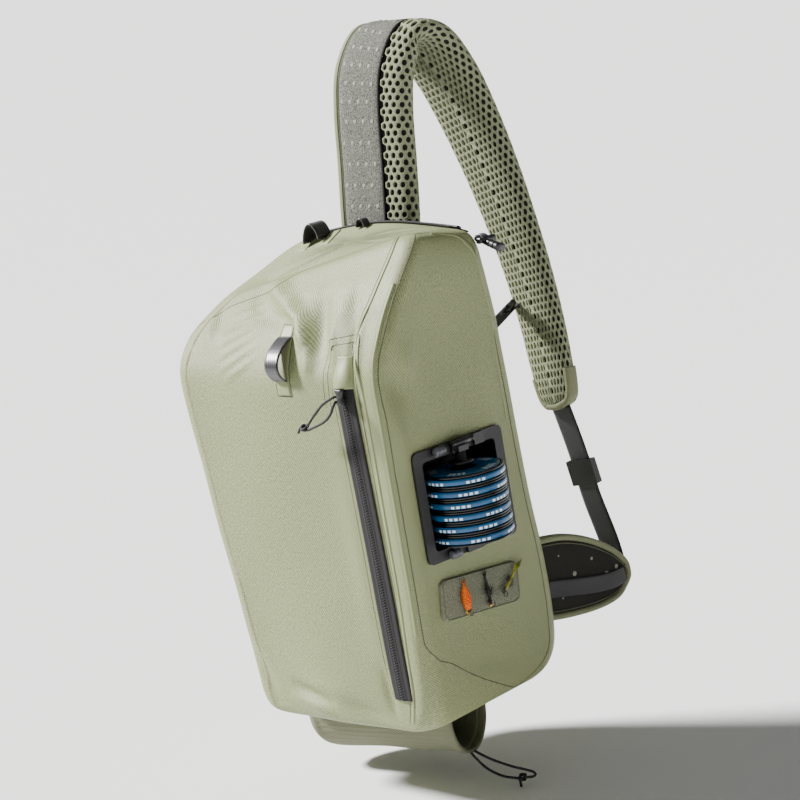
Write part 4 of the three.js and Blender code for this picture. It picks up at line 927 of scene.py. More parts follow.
@dataclass
class Body:
    """The welded body: its skin, its seams, its zips and its loops."""

    finishes: Finishes
    counts: tuple[int, ...] = (96, 12, 60, 12, 70, 10, 44, 14)
    rows: int = 150
    cap_rows: int = 14

    def build_skin(self) -> None:
        """The skin: a grid of the body's form, closed at both ends, with the tray's window."""
        q = np.concatenate([k + np.arange(n) / n for k, n in enumerate(self.counts)])
        t = np.linspace(0, 1, self.rows)
        shrink = np.linspace(1, 0, self.cap_rows + 1)[1:] ** 1.2
        wall = FORM.folded(FORM.ring(q[None, :], t[:, None]))
        foot = FORM.ring(q[None], np.zeros((1, 1)), shrink[::-1, None])
        head = FORM.ring(q[None], np.ones((1, 1)), shrink[:, None])
        grid = np.concatenate([foot, wall, head])
        rows, columns = grid.shape[:2]
        faces = grid_faces(rows, columns, False, True)
        points = grid.reshape(-1, 3)
        middle = points[faces].mean(1)
        window = (
            (middle[:, 0] > SIDE_X - 6)
            & (abs(middle[:, 1] - TRAY_Y) < WINDOW_Y)
            & (abs(middle[:, 2] - TRAY_Z) < WINDOW_Z)
        )
        run = distances(grid[rows // 2])
        height = distances(grid[:, 40])
        uv = np.stack(np.broadcast_arrays(run[None, :], height[:, None]), -1)
        faces = faces[~window]
        piece = solid(
            "body_cloth", points, faces, self.finishes.cloth, uv, stands_for=("body_shell",)
        )
        weld(piece)

    def seam(
        self, name: str, q: Array, t: Array, width: float = 1.1, proud: float = 0.25,
        dark: bool = True,
    ) -> None:
        """A seam line on the skin: a flat half-round bead swept along it.

        Args:
            name: The piece's name.
            q: Places round the rings.
            t: Height shares.
            width: The bead's width.
            proud: How far it stands out.
            dark: True for the shadow line, False for a welt of cloth.
        """
        points, normals = FORM.skin(q, t), FORM.normal(q, t)
        profile = np.array(
            [[-0.5, -0.6], [0.5, -0.6], [0.42, 0.35], [0.15, 0.9], [-0.15, 0.9], [-0.42, 0.35]]
        )
        profile = profile * np.array([width, proud])
        material = self.finishes.seam if dark else self.finishes.welt
        swept(name, points, normals, profile, material)

    def traced(self, places: list, count: int) -> tuple[Array, Array]:
        """A smooth line through chosen (q, t) places, as its q and its t."""
        line = spline([[4 * q, 30 * t, 0.0] for q, t in places], count)
        return np.clip(line[:, 0] / 4, 0, 7.99), np.clip(line[:, 1] / 30, 0, 0.992)

    def build_seams(self) -> None:
        """Seam lines and the raised welts beside them, each a path in (q, t)."""
        top = [
            (0.0, 0.79), (0.06, 0.8257), (0.206, 0.8457), (0.3, 0.862), (0.325, 0.91), (0.36, 0.96),
            (0.45, 0.985), (0.606, 0.987), (0.782, 0.987), (0.952, 0.987), (1.4, 0.985), (1.78, 0.972),
        ]
        front = [
            (1.78, 0.97), (1.531, 0.7976), (1.494, 0.7315), (1.48, 0.6653), (1.49, 0.5892), (1.5, 0.5291),
            (1.51, 0.4609), (1.52, 0.3968), (1.534, 0.2846), (1.6, 0.2695), (1.714, 0.2605),
            (2.03, 0.2435), (2.22, 0.2144), (2.439, 0.1683), (2.785, 0.0762),
        ]
        back = [
            (1.78, 0.97), (2.3, 0.965), (2.755, 0.934), (2.93, 0.888), (3.03, 0.84), (3.05, 0.7255),
            (3.02, 0.62), (3.0, 0.51), (3.0, 0.3), (2.98, 0.16), (2.785, 0.0762),
        ]
        welt = [(0.982, 0.976), (0.952, 0.8337), (0.938, 0.7595), (0.915, 0.6814)]
        bead = [
            (0.915, 0.6814), (0.955, 0.6052), (0.965, 0.531), (0.965, 0.429), (0.967, 0.3046),
            (0.972, 0.2104), (0.985, 0.12),
        ]
        for name, places in (("top_front", top), ("side_front", front), ("side_back", back)):
            self.seam("seam_" + name, *self.traced(places, 260), 1.1, 0.3)
        self.seam(
            "seam_left", *self.traced([(7.5, 0.08), (7.5, 0.4), (7.5, 0.7), (7.75, 0.78)], 140), 1.1, 0.3,
        )
        self.seam("welt_strip_edge", *self.traced(welt, 120), 2.4, 1.1, False)
        self.seam(
            "welt_strip_line", *(a + d for a, d in zip(self.traced(welt, 120), (-0.018, 0.0))), 0.8, 0.3,
        )
        self.seam("welt_side", *self.traced([(q - 0.24, t) for q, t in front[1:9]], 200), 3.2, 1.0, False)
        self.seam("front_bead", *self.traced(bead, 200), 3.6, 0.9, False)
        self.seam(
            "front_bead_line", *(a + d for a, d in zip(self.traced(bead, 200), (-0.022, 0.0))), 0.7, 0.25,
        )
        self.seam(
            "welt_side_back",
            *self.traced([(q - 0.035 if q > 2.9 else q, t - 0.012) for q, t in back[1:8]], 200), 2.6, 0.8,
            False,
        )

    def strip(
        self, name: str, face: Face, a: Array, z: Array, low: float, high: Array | float,
        material: Material, slot: str, stands_for: tuple[str, ...] = (),
    ) -> Piece:
        """A closed sheet that follows a face of the body.

        Args:
            name: The piece's name.
            face: The face.
            a: Grid of X, or of Y on the side.
            z: Grid of heights.
            low: Lift of its under side.
            high: Lift of its upper side.
            material: Its material.
            slot: Not used; it is handed on to slab, which ignores it.
            stands_for: CAD nodes that it replaces.

        Returns:
            The piece.
        """
        places, normals = FORM.on(face, a, z)
        return slab(name, places, normals, low, high, np.stack([a, z], -1), material, slot, stands_for)

    def build_pocket_zip(self) -> None:
        """The pocket's zip: tape with two raised ribs, a coil of teeth, a hood and a slider."""
        top, foot, width = np.array([81.0, 323.0]), np.array([91.0, 37.0]), 22.0
        hood_x, hood_z = 81, 330
        s, c = np.linspace(0, 1, 150)[:, None], np.linspace(-0.5, 0.5, 23)[None, :]
        a = mix(top[0], foot[0], s) + c * width
        z = mix(top[1], foot[1], s) + 0 * c
        rib = 1.2 + 0.7 * np.exp(-((abs(c) - 0.17) * 22) ** 2) + 0.5 * smooth(0.5, 0.42, abs(c)) + 0 * s
        self.strip(
            "pocket_zip_ribbon", Face.FRONT, a, z, -0.4, rib, self.finishes.tape, "zip",
            ("pocket_zip_tape",),
        )
        self.build_coil("pocket_zip_coil", Face.FRONT, top, foot, 1.9, 2.4, 5.0, ("pocket_zip_teeth",))
        s, c = np.linspace(0, 1, 20)[:, None], np.linspace(-0.5, 0.5, 21)[None, :]
        wide = mix(15.0, 25.0, smooth(0.0, 0.8, s))
        crown = 0.8 + 5.2 * np.cos(np.pi * c) * smooth(0.0, 0.9, s)
        self.strip(
            "pocket_zip_hood", Face.FRONT, hood_x + c * wide, 348 - s * 27 + 0 * c, -0.4, crown,
            self.finishes.welt, "cloth", ("zip_hood",),
        )
        for offset, high in ((20.0, 30.0), (26.0, 36.0)):
            u = np.array(
                [
                    [-offset, -26], [-offset, 8], [-offset * 0.75, high * 0.9], [offset * 0.62, high],
                    [offset * 0.8, 0], [offset * 0.9, -26],
                ]
            )
            path = np.array([[hood_x + x, hood_z + y] for x, y in u])
            fine = np.stack(
                [np.interp(np.linspace(0, 5, 90), np.arange(6), path[:, k]) for k in (0, 1)], -1
            )
            q, t = FORM.find(Face.FRONT, fine[:, 0], fine[:, 1])
            self.seam(f"hood_stitch_{int(offset)}", q, t, 0.9, 0.2)
        for side in (-15.5, 15.5):
            line = np.linspace(0, 1, 120)
            q, t = FORM.find(Face.FRONT, mix(top[0] + side, foot[0] + side, line), mix(320, 30, line))
            self.seam("pocket_stitch_" + ("left" if side < 0 else "right"), q, t, 0.8, 0.15)
        self.build_slider()

    def build_coil(
        self, name: str, face: Face, start: Array, end: Array, lift: float, pitch: float,
        width: float, stands_for: tuple[str, ...],
    ) -> None:
        """A zip's coil: two rows of small slanted lozenges down a line, set half a pitch apart."""
        count = int(np.linalg.norm(end - start) / pitch)
        s = (np.arange(2 * count) / 2 + 0.5) / count
        side = np.where(np.arange(2 * count) % 2, 1.0, -1.0)
        at, normals = FORM.on(
            face, mix(start[0], end[0], s) + side * width * 0.22, mix(start[1], end[1], s)
        )
        run = unit(np.array([end[0] - start[0], 0, end[1] - start[1]]))
        along = unit(run - normals * (normals @ run)[:, None])
        across = np.cross(normals, along)
        shape = np.array(
            [
                [-1, -1, 0], [1, -0.4, 0], [1, 1, 0], [-1, 0.4, 0], [-0.7, -0.5, 1], [0.7, 0, 1],
                [0.7, 0.5, 1], [-0.7, 0, 1],
            ]
        )
        size = np.array([width * 0.3, pitch * 0.34, 0.9])
        local = shape * size
        flip = side[:, None, None] * across[:, None, :] * local[None, :, :1]
        centre = (at + normals * lift)[:, None]
        length, rise = along[:, None] * local[None, :, 1:2], normals[:, None] * local[None, :, 2:]
        points = centre + flip + length + rise
        box = np.array(
            [[0, 3, 2, 1], [4, 5, 6, 7], [0, 1, 5, 4], [1, 2, 6, 5], [2, 3, 7, 6], [3, 0, 4, 7]]
        )
        faces = (box[None] + 8 * np.arange(len(at))[:, None, None]).reshape(-1, 4)
        piece = solid(
            name, points.reshape(-1, 3), faces, self.finishes.teeth, stands_for=stands_for,
            flat=True,
        )
        weld(piece, 0.001)

    def build_slider(self) -> None:
        """The pocket's slider: a waisted block on the coil."""
        centre = sum(node_box("pocket_zip_slider")) / 2
        z = np.linspace(-7, 7, 15)
        waist = 4.8 - 1.5 * np.exp(-((z / 2.6) ** 2))
        path = np.stack([np.full(15, centre[0]), np.full(15, centre[1] + 0.8), centre[2] + z], -1)
        swept(
            "pocket_slider", path, np.array([0.0, -1.0, 0.0]), round_profile(2.0, 1.15, 16, 0.5),
            self.finishes.plastic, stands_for=("pocket_zip_slider",), scale=waist,
        )

    def build_loops(self) -> None:
        """The front loop on its cloth patch and the top loop between two tabs."""
        def middle(z: Array) -> Array:
            """The patch's middle line, which leans 8 mm to the left over its height."""
            return 5.5 - 8.0 * (z - 314) / 57.5

        x = np.linspace(-8.5, 8.5, 12)[None, :]
        z = np.linspace(371.5, 314, 50)[:, None]
        edge = 0.9 * smooth(0.5, 0.44, abs(x) / 17) + 0 * z
        self.strip(
            "front_loop_cloth", Face.FRONT, x + middle(z), z + 0 * x, -0.4, 0.2 + edge,
            self.finishes.welt, "cloth", ("front_loop_patch",),
        )
        for name, dz in (("upper", 372.5), ("lower", 313.0)):
            line = np.linspace(-9.4, 9.4, 24) + middle(dz)
            q, t = FORM.find(Face.FRONT, line, np.full(24, dz))
            self.seam("loop_cloth_edge_" + name, q, t, 0.9, 0.2)
        for name, dx in (("left", -9.4), ("right", 9.4)):
            line = np.linspace(372.5, 313, 60)
            q, t = FORM.find(Face.FRONT, dx + middle(line), line)
            self.seam("loop_cloth_edge_" + name, q, t, 0.9, 0.2)
        s = np.linspace(0, 1, 40)
        foot, _ = FORM.on(Face.FRONT, middle(mix(363.0, 327.0, s)), mix(363.0, 327.0, s))
        path = foot + np.array([0, -1.0, 0]) * (1.6 + 12 * np.sin(np.pi * s) ** 0.7)[:, None]
        self.band(
            "front_webbing_loop", path, np.array([1.0, 0, 0]), 18.0, 1.9, self.finishes.loop, "webbing",
            ("front_loop",),
        )
        x = np.linspace(-77, -55, 40)
        top, _ = FORM.top(x, np.full(40, 45.0))
        lift = 1.5 + 16.5 * np.sin(np.pi * (x + 77) / 22) ** 0.55
        path = top + np.stack([0 * x, 0 * x, lift], -1)
        self.band(
            "top_webbing_loop", path, np.array([0, 1.0, 0]), 17.0, 1.9, self.finishes.loop, "webbing",
            ("top_loop",),
        )
        for name, x0 in (("left", -88.0), ("right", -54.0)):
            gx, gy = np.meshgrid(np.linspace(x0, x0 + 13.5, 10), np.linspace(36, 54, 12))
            slab(
                "loop_tab_" + name, *FORM.top(gx, gy), -0.5, 1.0, np.stack([gx, gy], -1),
                self.finishes.welt, "cloth", ("top_loop_tab_" + name,),
            )

    def band(
        self, name: str, path: Array, across: Array, width: float, thick: float,
        material: Material, slot: str, stands_for: tuple[str, ...],
    ) -> Piece:
        """A strip of webbing along a path, lying with its width along a given direction."""
        along = unit(np.gradient(path, axis=0))
        wide = unit(across - along * (along @ across)[:, None] if across.ndim == 1 else across)
        up = np.cross(along, wide)
        c = np.linspace(-0.5, 0.5, 13)
        places = path[:, None] + wide[:, None] * (c * width)[None, :, None]
        edge = 1 - 0.55 * smooth(0.42, 0.5, abs(c))
        half = np.broadcast_to(thick / 2 * edge, places.shape[:2])
        normals = np.broadcast_to(up[:, None], places.shape)
        uv = np.stack(np.broadcast_arrays((c * width)[None, :], distances(path)[:, None]), -1)
        return slab(name, places, normals, -half, half, uv, material, slot, stands_for)

    def build_main_zip(self) -> None:
        """The main zip along the top back edge: tape, coil and a pull with a cross bar."""
        x = np.linspace(-97, 121, 120)
        q, t = 4.0 + np.clip((121 - x) / 230, 0.001, 0.98), np.full(120, 0.945)
        base = FORM.skin(q, t)
        normal = FORM.normal(q, t)
        path = base + normal * 0.6
        self.band(
            "main_zip_ribbon", path, FORM.skin(q, t + 0.02) - FORM.skin(q, t - 0.02), 18.0, 2.6,
            self.finishes.tape, "zip", ("main_zip_tape",),
        )
        ridge = base + normal * 2.2
        swept(
            "main_zip_coil", ridge, normal, round_profile(5.0, 2.6, 10, 0.8), self.finishes.teeth,
            stands_for=("main_zip_teeth",),
        )
        self.build_pull()

    def build_pull(self) -> None:
        """The main zip's docking pull: a T of two moulded bars, ribbed at its grip, and a
        folded tab between them."""
        low, high = node_box("main_zip_pull")
        centre = (low + high) / 2
        x = np.linspace(low[0] + 0.5, high[0] - 0.5, 60)
        s = (x - x[0]) / (x[-1] - x[0])
        grip = 1 + 0.035 * np.sign(np.sin(s * 34)) * smooth(0.45, 0.6, s)
        fall = centre[2] + 5.0 - 9.0 * s
        path = np.stack([x, np.full(60, centre[1] - 1.0), fall], -1)
        swept(
            "main_pull_grip", path, np.array([0, 0.3, 1.0]), round_profile(11.0, 6.5, 20, 0.6),
            self.finishes.plastic, stands_for=("main_zip_pull",),
            scale=mix(0.8, 1.12, s) * grip,
        )
        y = np.linspace(low[1] + 1, high[1] - 1, 24)
        path = np.stack([np.full(24, centre[0] - 4), y, np.full(24, centre[2] + 3.5)], -1)
        swept(
            "main_pull_bar", path, np.array([0, 0, 1.0]), round_profile(7.0, 5.4, 16, 0.6),
            self.finishes.plastic,
        )
        turn = np.linspace(0, np.pi, 24)
        path = np.stack(
            [
                low[0] + 3 + 9 * (1 - np.cos(turn)) * 0.6, np.full(24, centre[1] - 3),
                centre[2] + 3 + 5.0 * np.sin(turn),
            ],
            -1,
        )
        swept(
            "main_pull_tab", path, np.array([0, 1.0, 0.0]), round_profile(3.0, 7.0, 12, 0.6),
            self.finishes.loop,
        )


@dataclass
class Cords:
    """The free cords: each pull has two strands from its eye to a knot with a short tail."""

    finishes: Finishes
    diameter: float = 2.5

    def strand(self, name: str, points: list, node: str) -> None:
        """One strand: a smooth round tube through chosen points."""
        path = spline(points, 36)
        piece = swept(
            name, path, np.array([0.02, -1.0, 0.01]), round_profile(self.diameter, self.diameter, 12),
            self.finishes.cord, stands_for=(node,),
        )

    def knot(self, name: str, at: list, tail: list, node: str) -> Piece:
        """A knot: two turns of cord wound round a ball, with its tail."""
        angle = np.linspace(0, 5 * np.pi, 60)
        r = 2.9 + 0.5 * np.sin(angle * 1.5)
        turns = np.stack(
            [r * np.cos(angle), r * np.sin(angle), 2.2 * np.cos(angle * 0.4)], -1
        ) + np.array(at)
        path = np.concatenate(
            [turns, spline([turns[-1], (turns[-1] + np.array(tail)) / 2 + [0, -0.5, 0.5], tail], 16)[1:]]
        )
        return swept(
            name, path, np.array([0.1, 0.2, 1.0]), round_profile(2.4, 2.4, 10), self.finishes.cord,
            stands_for=(node,),
        )

    def build(self) -> None:
        """Both pulls, with the routes that their CAD solids have."""
        knot = self.knot("pocket_knot", [40.2, -95.5, 288.6], [31, -95.5, 284], "pocket_pull_knot")
        self.strand(
            "pocket_strand_upper",
            [[81.3, -88.7, 316.4], [80, -92.3, 316], [70, -95, 311], [58, -95.5, 302], [45, -95.5, 291]],
            "pocket_pull_upper",
        )
        self.strand(
            "pocket_strand_lower",
            [
                [81.3, -88.9, 312.4], [81, -92.8, 309.5], [78, -95.6, 302], [68, -96.3, 295],
                [45, -95.5, 287],
            ],
            "pocket_pull_lower",
        )
        knot = self.knot("sleeve_knot", [120.5, 20, -66.5], [117.5, 20, -76], "sleeve_cord_knot")
        self.strand(
            "sleeve_strand_upper",
            [
                [60.4, 20, -48.3], [68, 20, -50.5], [82, 20, -54], [106, 20.5, -57.5], [134, 22, -60],
                [134.5, 22, -64], [125, 20, -66],
            ],
            "sleeve_cord_upper",
        )
        self.strand(
            "sleeve_strand_lower",
            [[62.7, 14, -47.5], [69, 14, -53], [82, 15, -62], [98, 17.5, -67.5], [116, 19.8, -68]],
            "sleeve_cord_lower",
        )


@dataclass
class SpoolHolder:
    """The tray's spools with their blue bands, the post and its fittings, and the fly patch."""

    finishes: Finishes
    radius: float = 36.5
    thickness: float = 10.3
    foot: float = 169.02
    pitch: float = 10.6
    count: int = 6

    def build_spools(self) -> None:
        """Each spool: a grooved disc turned on its own axis, and a printed band in its groove."""
        r, h = self.radius, self.thickness
        profile = [
            (5.6, 0), (8, 0), (8, 0.6), (r - 1, 0), (r, 0.35), (r, 1.3), (r - 0.6, 1.9), (r - 2.2, 2.2),
            (r - 2.2, h - 2.2), (r - 0.6, h - 1.9), (r, h - 1.3), (r, h - 0.35), (r - 1, h), (10, h),
            (9.6, h - 0.5), (5.6, h - 0.5), (5.6, 0),
        ]
        band = [
            (r - 1.9, 2.4), (r + 0.1, 2.7), (r + 0.5, 3.3), (r + 0.6, h / 2), (r + 0.5, h - 3.3),
            (r + 0.1, h - 2.7), (r - 1.9, h - 2.4), (r - 1.9, 2.4),
        ]
        for i in range(1, self.count + 1):
            z = self.foot + (i - 1) * self.pitch
            body = f"line_spool_{i}"
            at = (POST_X, TRAY_Y, z)
            turned(
                f"spool_body_{i}", profile, 72, at, self.finishes.spool, (f"spool_{i}",), body
            )
            turned(
                f"spool_band_{i}", band, 72, at, self.finishes.label, (f"band_{i}",), body,
                shift=(0.13 * i, -1.0),
            )
        z = self.foot + (self.count - 1) * self.pitch + h - 0.3
        card = [(12.0, 0.0), (12.0, 0.55), (r - 3.4, 0.55), (r - 3.0, 0.0), (12.0, 0.0)]
        at = (POST_X, TRAY_Y, z)
        turned("spool_card", card, 72, at, self.finishes.card, (), f"line_spool_{self.count}")

    def build_fittings(self) -> None:
        """The post, its toggle, the two barrels, and rounded edges on the carried CAD pieces."""
        foot, top, stack = 167.22, 247.32, self.foot + self.count * self.pitch
        post = [
            (0, foot), (17, foot), (17, foot + 1.0), (16.4, foot + 1.5), (5, foot + 1.5), (5, stack + 4),
            (10.4, stack + 4), (11, stack + 4.6), (11, stack + 5.8), (10.4, stack + 6.4),
            (5, stack + 6.4), (5, top - 0.8), (4.2, top), (0, top),
        ]
        turned(
            "holder_post", post, 40, (POST_X, TRAY_Y, 0), self.finishes.plastic,
            ("spool_post",),
        )
        for name, node, radius, length, material, slot in (
            ("toggle_rod", "post_toggle", 3.2, 26.0, self.finishes.plastic, "moulded"),
            ("barrel_lock_upper", "barrel_upper", 4.0, 11.0, self.finishes.barrel, "barrel"),
            ("barrel_lock_lower", "barrel_lower", 4.0, 11.0, self.finishes.barrel, "barrel"),
        ):
            centre = sum(node_box(node)) / 2
            half = length / 2
            steps = ((0.8, 0.0), (0.0, 0.8), (0.0, 2.6), (0.5, 3.0), (0.5, 3.6), (0.0, 4.0))
            near = [(radius - less, -half + up) for less, up in steps]
            rings = [(0, -half), *near, *((r, -h) for r, h in near[::-1]), (0, half)]
            turned(name, rings, 28, centre, material, (node,), axis=1)
        for node, material, width in (
            ("spool_tray", self.finishes.tray, 0.6), ("post_bracket_upper", self.finishes.plastic, 0.7),
            ("post_bracket_lower", self.finishes.plastic, 0.7), ("tray_tab", self.finishes.plastic, 0.5),
            ("webbing_slider", self.finishes.plastic, 0.8),
        ):
            dress(node, material, width)

    def build_patch(self) -> None:
        """The pile patch: a rounded pad with a crowned edge, turned a little in its plane, and
        a zigzag stitch round it."""
        corner, tilt = 7.0, math.radians(-5)
        angle = np.linspace(0, 2 * np.pi, 120, endpoint=False)
        quarter = np.floor(angle / (np.pi / 2)).astype(int)
        cx = np.array([1, -1, -1, 1])[quarter] * (PATCH_WIDTH / 2 - corner)
        cz = np.array([1, 1, -1, -1])[quarter] * (PATCH_HEIGHT / 2 - corner)
        outline = np.stack([cx + corner * np.cos(angle), cz + corner * np.sin(angle)], -1)
        levels = [(1.0, 0.2), (1.0, 2.4), (0.985, 3.3), (0.95, 3.6), (0.6, 3.7), (0.25, 3.7), (0.0, 3.7)]
        turn = np.array([[math.cos(tilt), -math.sin(tilt)], [math.sin(tilt), math.cos(tilt)]])

        def raised(flat: Array, lift: float) -> Array:
            """Points of the patch's plane, lifted off the bag's side."""
            return np.stack(
                [np.full(len(flat), SIDE_X + lift), TRAY_Y + flat[:, 0], PATCH_Z + flat[:, 1]], -1
            )

        points = np.concatenate([raised((outline * k) @ turn.T, h) for k, h in levels])
        faces = grid_faces(len(levels), 120, False, True)
        piece = solid(
            "fly_patch_pile", points, faces, self.finishes.pile, stands_for=("fly_patch",)
        )
        weld(piece)
        border = np.linspace(0, 1, 520, endpoint=False)
        loop = np.concatenate([outline, outline[:1]])
        run = distances(loop)
        where = border * run[-1]
        line = np.stack([np.interp(where, run, loop[:, k]) for k in (0, 1)], -1)
        zigzag = 1 - 0.028 - 0.022 * (np.abs((where / 1.9) % 2 - 1))
        path = raised((line * zigzag[:, None]) @ turn.T, 3.85)
        swept(
            "fly_patch_stitch", path, np.array([1.0, 0, 0]), round_profile(0.9, 0.7, 5),
            self.finishes.hem, closed=True,
        )

    def tuft(
        self, name: str, root: Array, towards: Array, spread: float, length: float, count: int,
        material: Material, seed: int, thick: float = 0.42,
    ) -> None:
        """A tuft of hairs: thin three-sided spikes from one place, fanned about a direction."""
        rng = np.random.default_rng(seed)
        direction = unit(towards + rng.normal(0, spread, (count, 3)))
        direction[:, 0] = np.abs(direction[:, 0]) * 0.45
        direction = unit(direction)
        reach = length * rng.uniform(0.6, 1.0, count)
        side = unit(np.cross(direction, np.array([1.0, 0.2, 0.1])))
        other = np.cross(direction, side)
        start = root + rng.normal(0, 0.5, (count, 3)) * np.array([0.3, 1, 1])
        around = [side, -0.5 * side + 0.87 * other, -0.5 * side - 0.87 * other]
        base = np.stack([start + thick * a for a in around], 1)
        tip = (start + direction * reach[:, None])[:, None]
        points = np.concatenate([base, tip], 1).reshape(-1, 3)
        k = 4 * np.arange(count)[:, None, None]
        faces = (np.array([[0, 1, 3], [1, 2, 3], [2, 0, 3], [0, 2, 1]])[None] + k).reshape(-1, 3)
        piece = solid(name, points, faces, material)
        weld(piece, 0.001)

    def build_flies(self) -> None:
        """Three flies: a wound body, a tapered head, tufts of hair, and a bent wire hook."""
        x = 134.6
        flies = (
            ("orange", -0.24, 2.0, "fly_foam", self.finishes.foam, 4.2, 1),
            ("black", 0.04, 6.0, "fly_thread", self.finishes.thread, 1.9, 2),
            ("olive", 0.33, -48.0, "fly_olive", self.finishes.olive, 1.6, 3),
        )
        for colour, across, tilt, slot, material, fat, number in flies:
            y = TRAY_Y + across * PATCH_WIDTH
            a = math.radians(tilt)
            axis = np.array([0.0, -math.sin(a), math.cos(a)])
            s = np.linspace(-13, 13, 90)
            wound = 1 + 0.12 * np.sin(s * 3.4)
            body = fat * np.clip(np.sin(np.pi * (s + 13.4) / 27) ** 0.6, 0.12, 1) * wound
            path = np.array([x, y, PATCH_Z]) + axis * s[:, None]
            swept(
                f"fly_{colour}_body", path, np.array([1.0, 0, 0]), round_profile(2, 2, 14), material,
                stands_for=(f"fly_{number}",), scale=body,
            )
            swept(
                f"fly_{colour}_head", path[:12], np.array([1.0, 0, 0]), round_profile(2, 2, 14),
                self.finishes.thread, scale=body[:12] + 0.5,
            )
            hook = np.array(
                [
                    path[2] + [0.2, 0.6, 0], path[0] + [0.5, 0.4, -2.2], path[0] + [0.9, 2.2, -3.4],
                    path[0] + [0.9, 3.8, -2.0], path[0] + [0.7, 4.0, 1.0],
                ]
            )
            swept(
                f"fly_{colour}_hook", spline(hook, 24), np.array([1.0, 0.1, 0]),
                round_profile(0.8, 0.8, 8), self.finishes.plastic,
            )
            side = np.cross(np.array([1.0, 0, 0]), axis)
            hair = {1: self.finishes.yellow, 2: material, 3: self.finishes.hackle}[number]
            wide, wild = (0.22, 0.18) if number == 1 else (0.75, 0.5)
            self.tuft(
                f"fly_{colour}_tail", path[-8], axis, 0.25, 10.0 if number < 3 else 15.0, 26, material,
                10 + number,
            )
            self.tuft(
                f"fly_{colour}_left", path[40], axis * 0.5 + side * wide, wild, 9.0, 34, hair,
                20 + number,
            )
            self.tuft(
                f"fly_{colour}_right", path[34], axis * 0.5 - side * wide, wild, 9.0, 34, hair,
                30 + number,
            )
            self.tuft(
                f"fly_{colour}_collar", path[16], -axis * 0.4 + side * wide * 0.8, wild, 8.0, 30,
                self.finishes.thread if number == 2 else hair, 40 + number,
            )
            if number == 2:
                ball = [(0, -1.8), (1.2, -1.4), (1.8, -0.3), (1.8, 0.4), (1.2, 1.4), (0, 1.8)]
                turned("fly_bead", ball, 18, path[0] + [0.2, -0.6, -1.0], self.finishes.bead)


def dress(node: str, material: Material, bevel_mm: float) -> None:
    """Gives a carried CAD node its real material and edges rounded by so many millimetres."""
    piece = bpy.data.objects[node]
    piece.data.materials.clear()
    piece.data.materials.append(material)
    if "cloth" not in piece.data.uv_layers:
        layer = piece.data.uv_layers.new(name="cloth")
        corners = np.zeros(len(piece.data.loops), np.int32)
        piece.data.loops.foreach_get("vertex_index", corners)
        points = np.zeros(3 * len(piece.data.vertices), np.float32)
        piece.data.vertices.foreach_get("co", points)
        points = points.reshape(-1, 3)[corners] * 1000
        layer.data.foreach_set("uv", np.stack([points[:, 0] + points[:, 1], points[:, 2]], -1).ravel())
    modifier = piece.modifiers.new("edges", "BEVEL")
    modifier.width = bevel_mm / 1000
    modifier.segments = 2
    modifier.limit_method = "ANGLE"


# The strap and the wing

STRAP = Table(
    "x y z width thick",
    (
        (-0.073, -0.03, 0.668, 0.96, 0.9),
        (-0.073, 0.03, 0.73, 1, 1),
        (-0.07, 0.09, 0.81, 1, 1),
        (-0.066, 0.14, 0.89, 1, 1),
        (-0.056, 0.22, 0.952, 1, 1),
        (-0.036, 0.41, 0.995, 0.98, 0.96),
        (-0.008, 0.66, 0.982, 0.92, 0.92),
        (0.025, 0.84, 0.925, 0.85, 0.88),
        (0.064, 0.94, 0.85, 0.78, 0.84),
        (0.108, 0.99, 0.77, 0.71, 0.8),
        (0.15, 1.01, 0.69, 0.65, 0.76),
        (0.187, 1.02, 0.61, 0.6, 0.73),
        (0.218, 1.01, 0.53, 0.56, 0.7),
        (0.243, 0.98, 0.455, 0.52, 0.67),
        (0.257, 0.96, 0.412, 0.44, 0.62),
        (0.263, 0.95, 0.398, 0.3, 0.5),
    ),
)
WING = Table(
    "x y middle height thick",
    (
        (0.385, -0.12, 0.23, 0.98, 1),
        (0.39, 0.12, 0.222, 1, 1),
        (0.395, 0.36, 0.21, 0.95, 1),
        (0.4, 0.6, 0.195, 0.83, 0.95),
        (0.405, 0.8, 0.183, 0.66, 0.9),
        (0.408, 0.94, 0.176, 0.44, 0.8),
        (0.41, 1, 0.172, 0.2, 0.6),
    ),
)


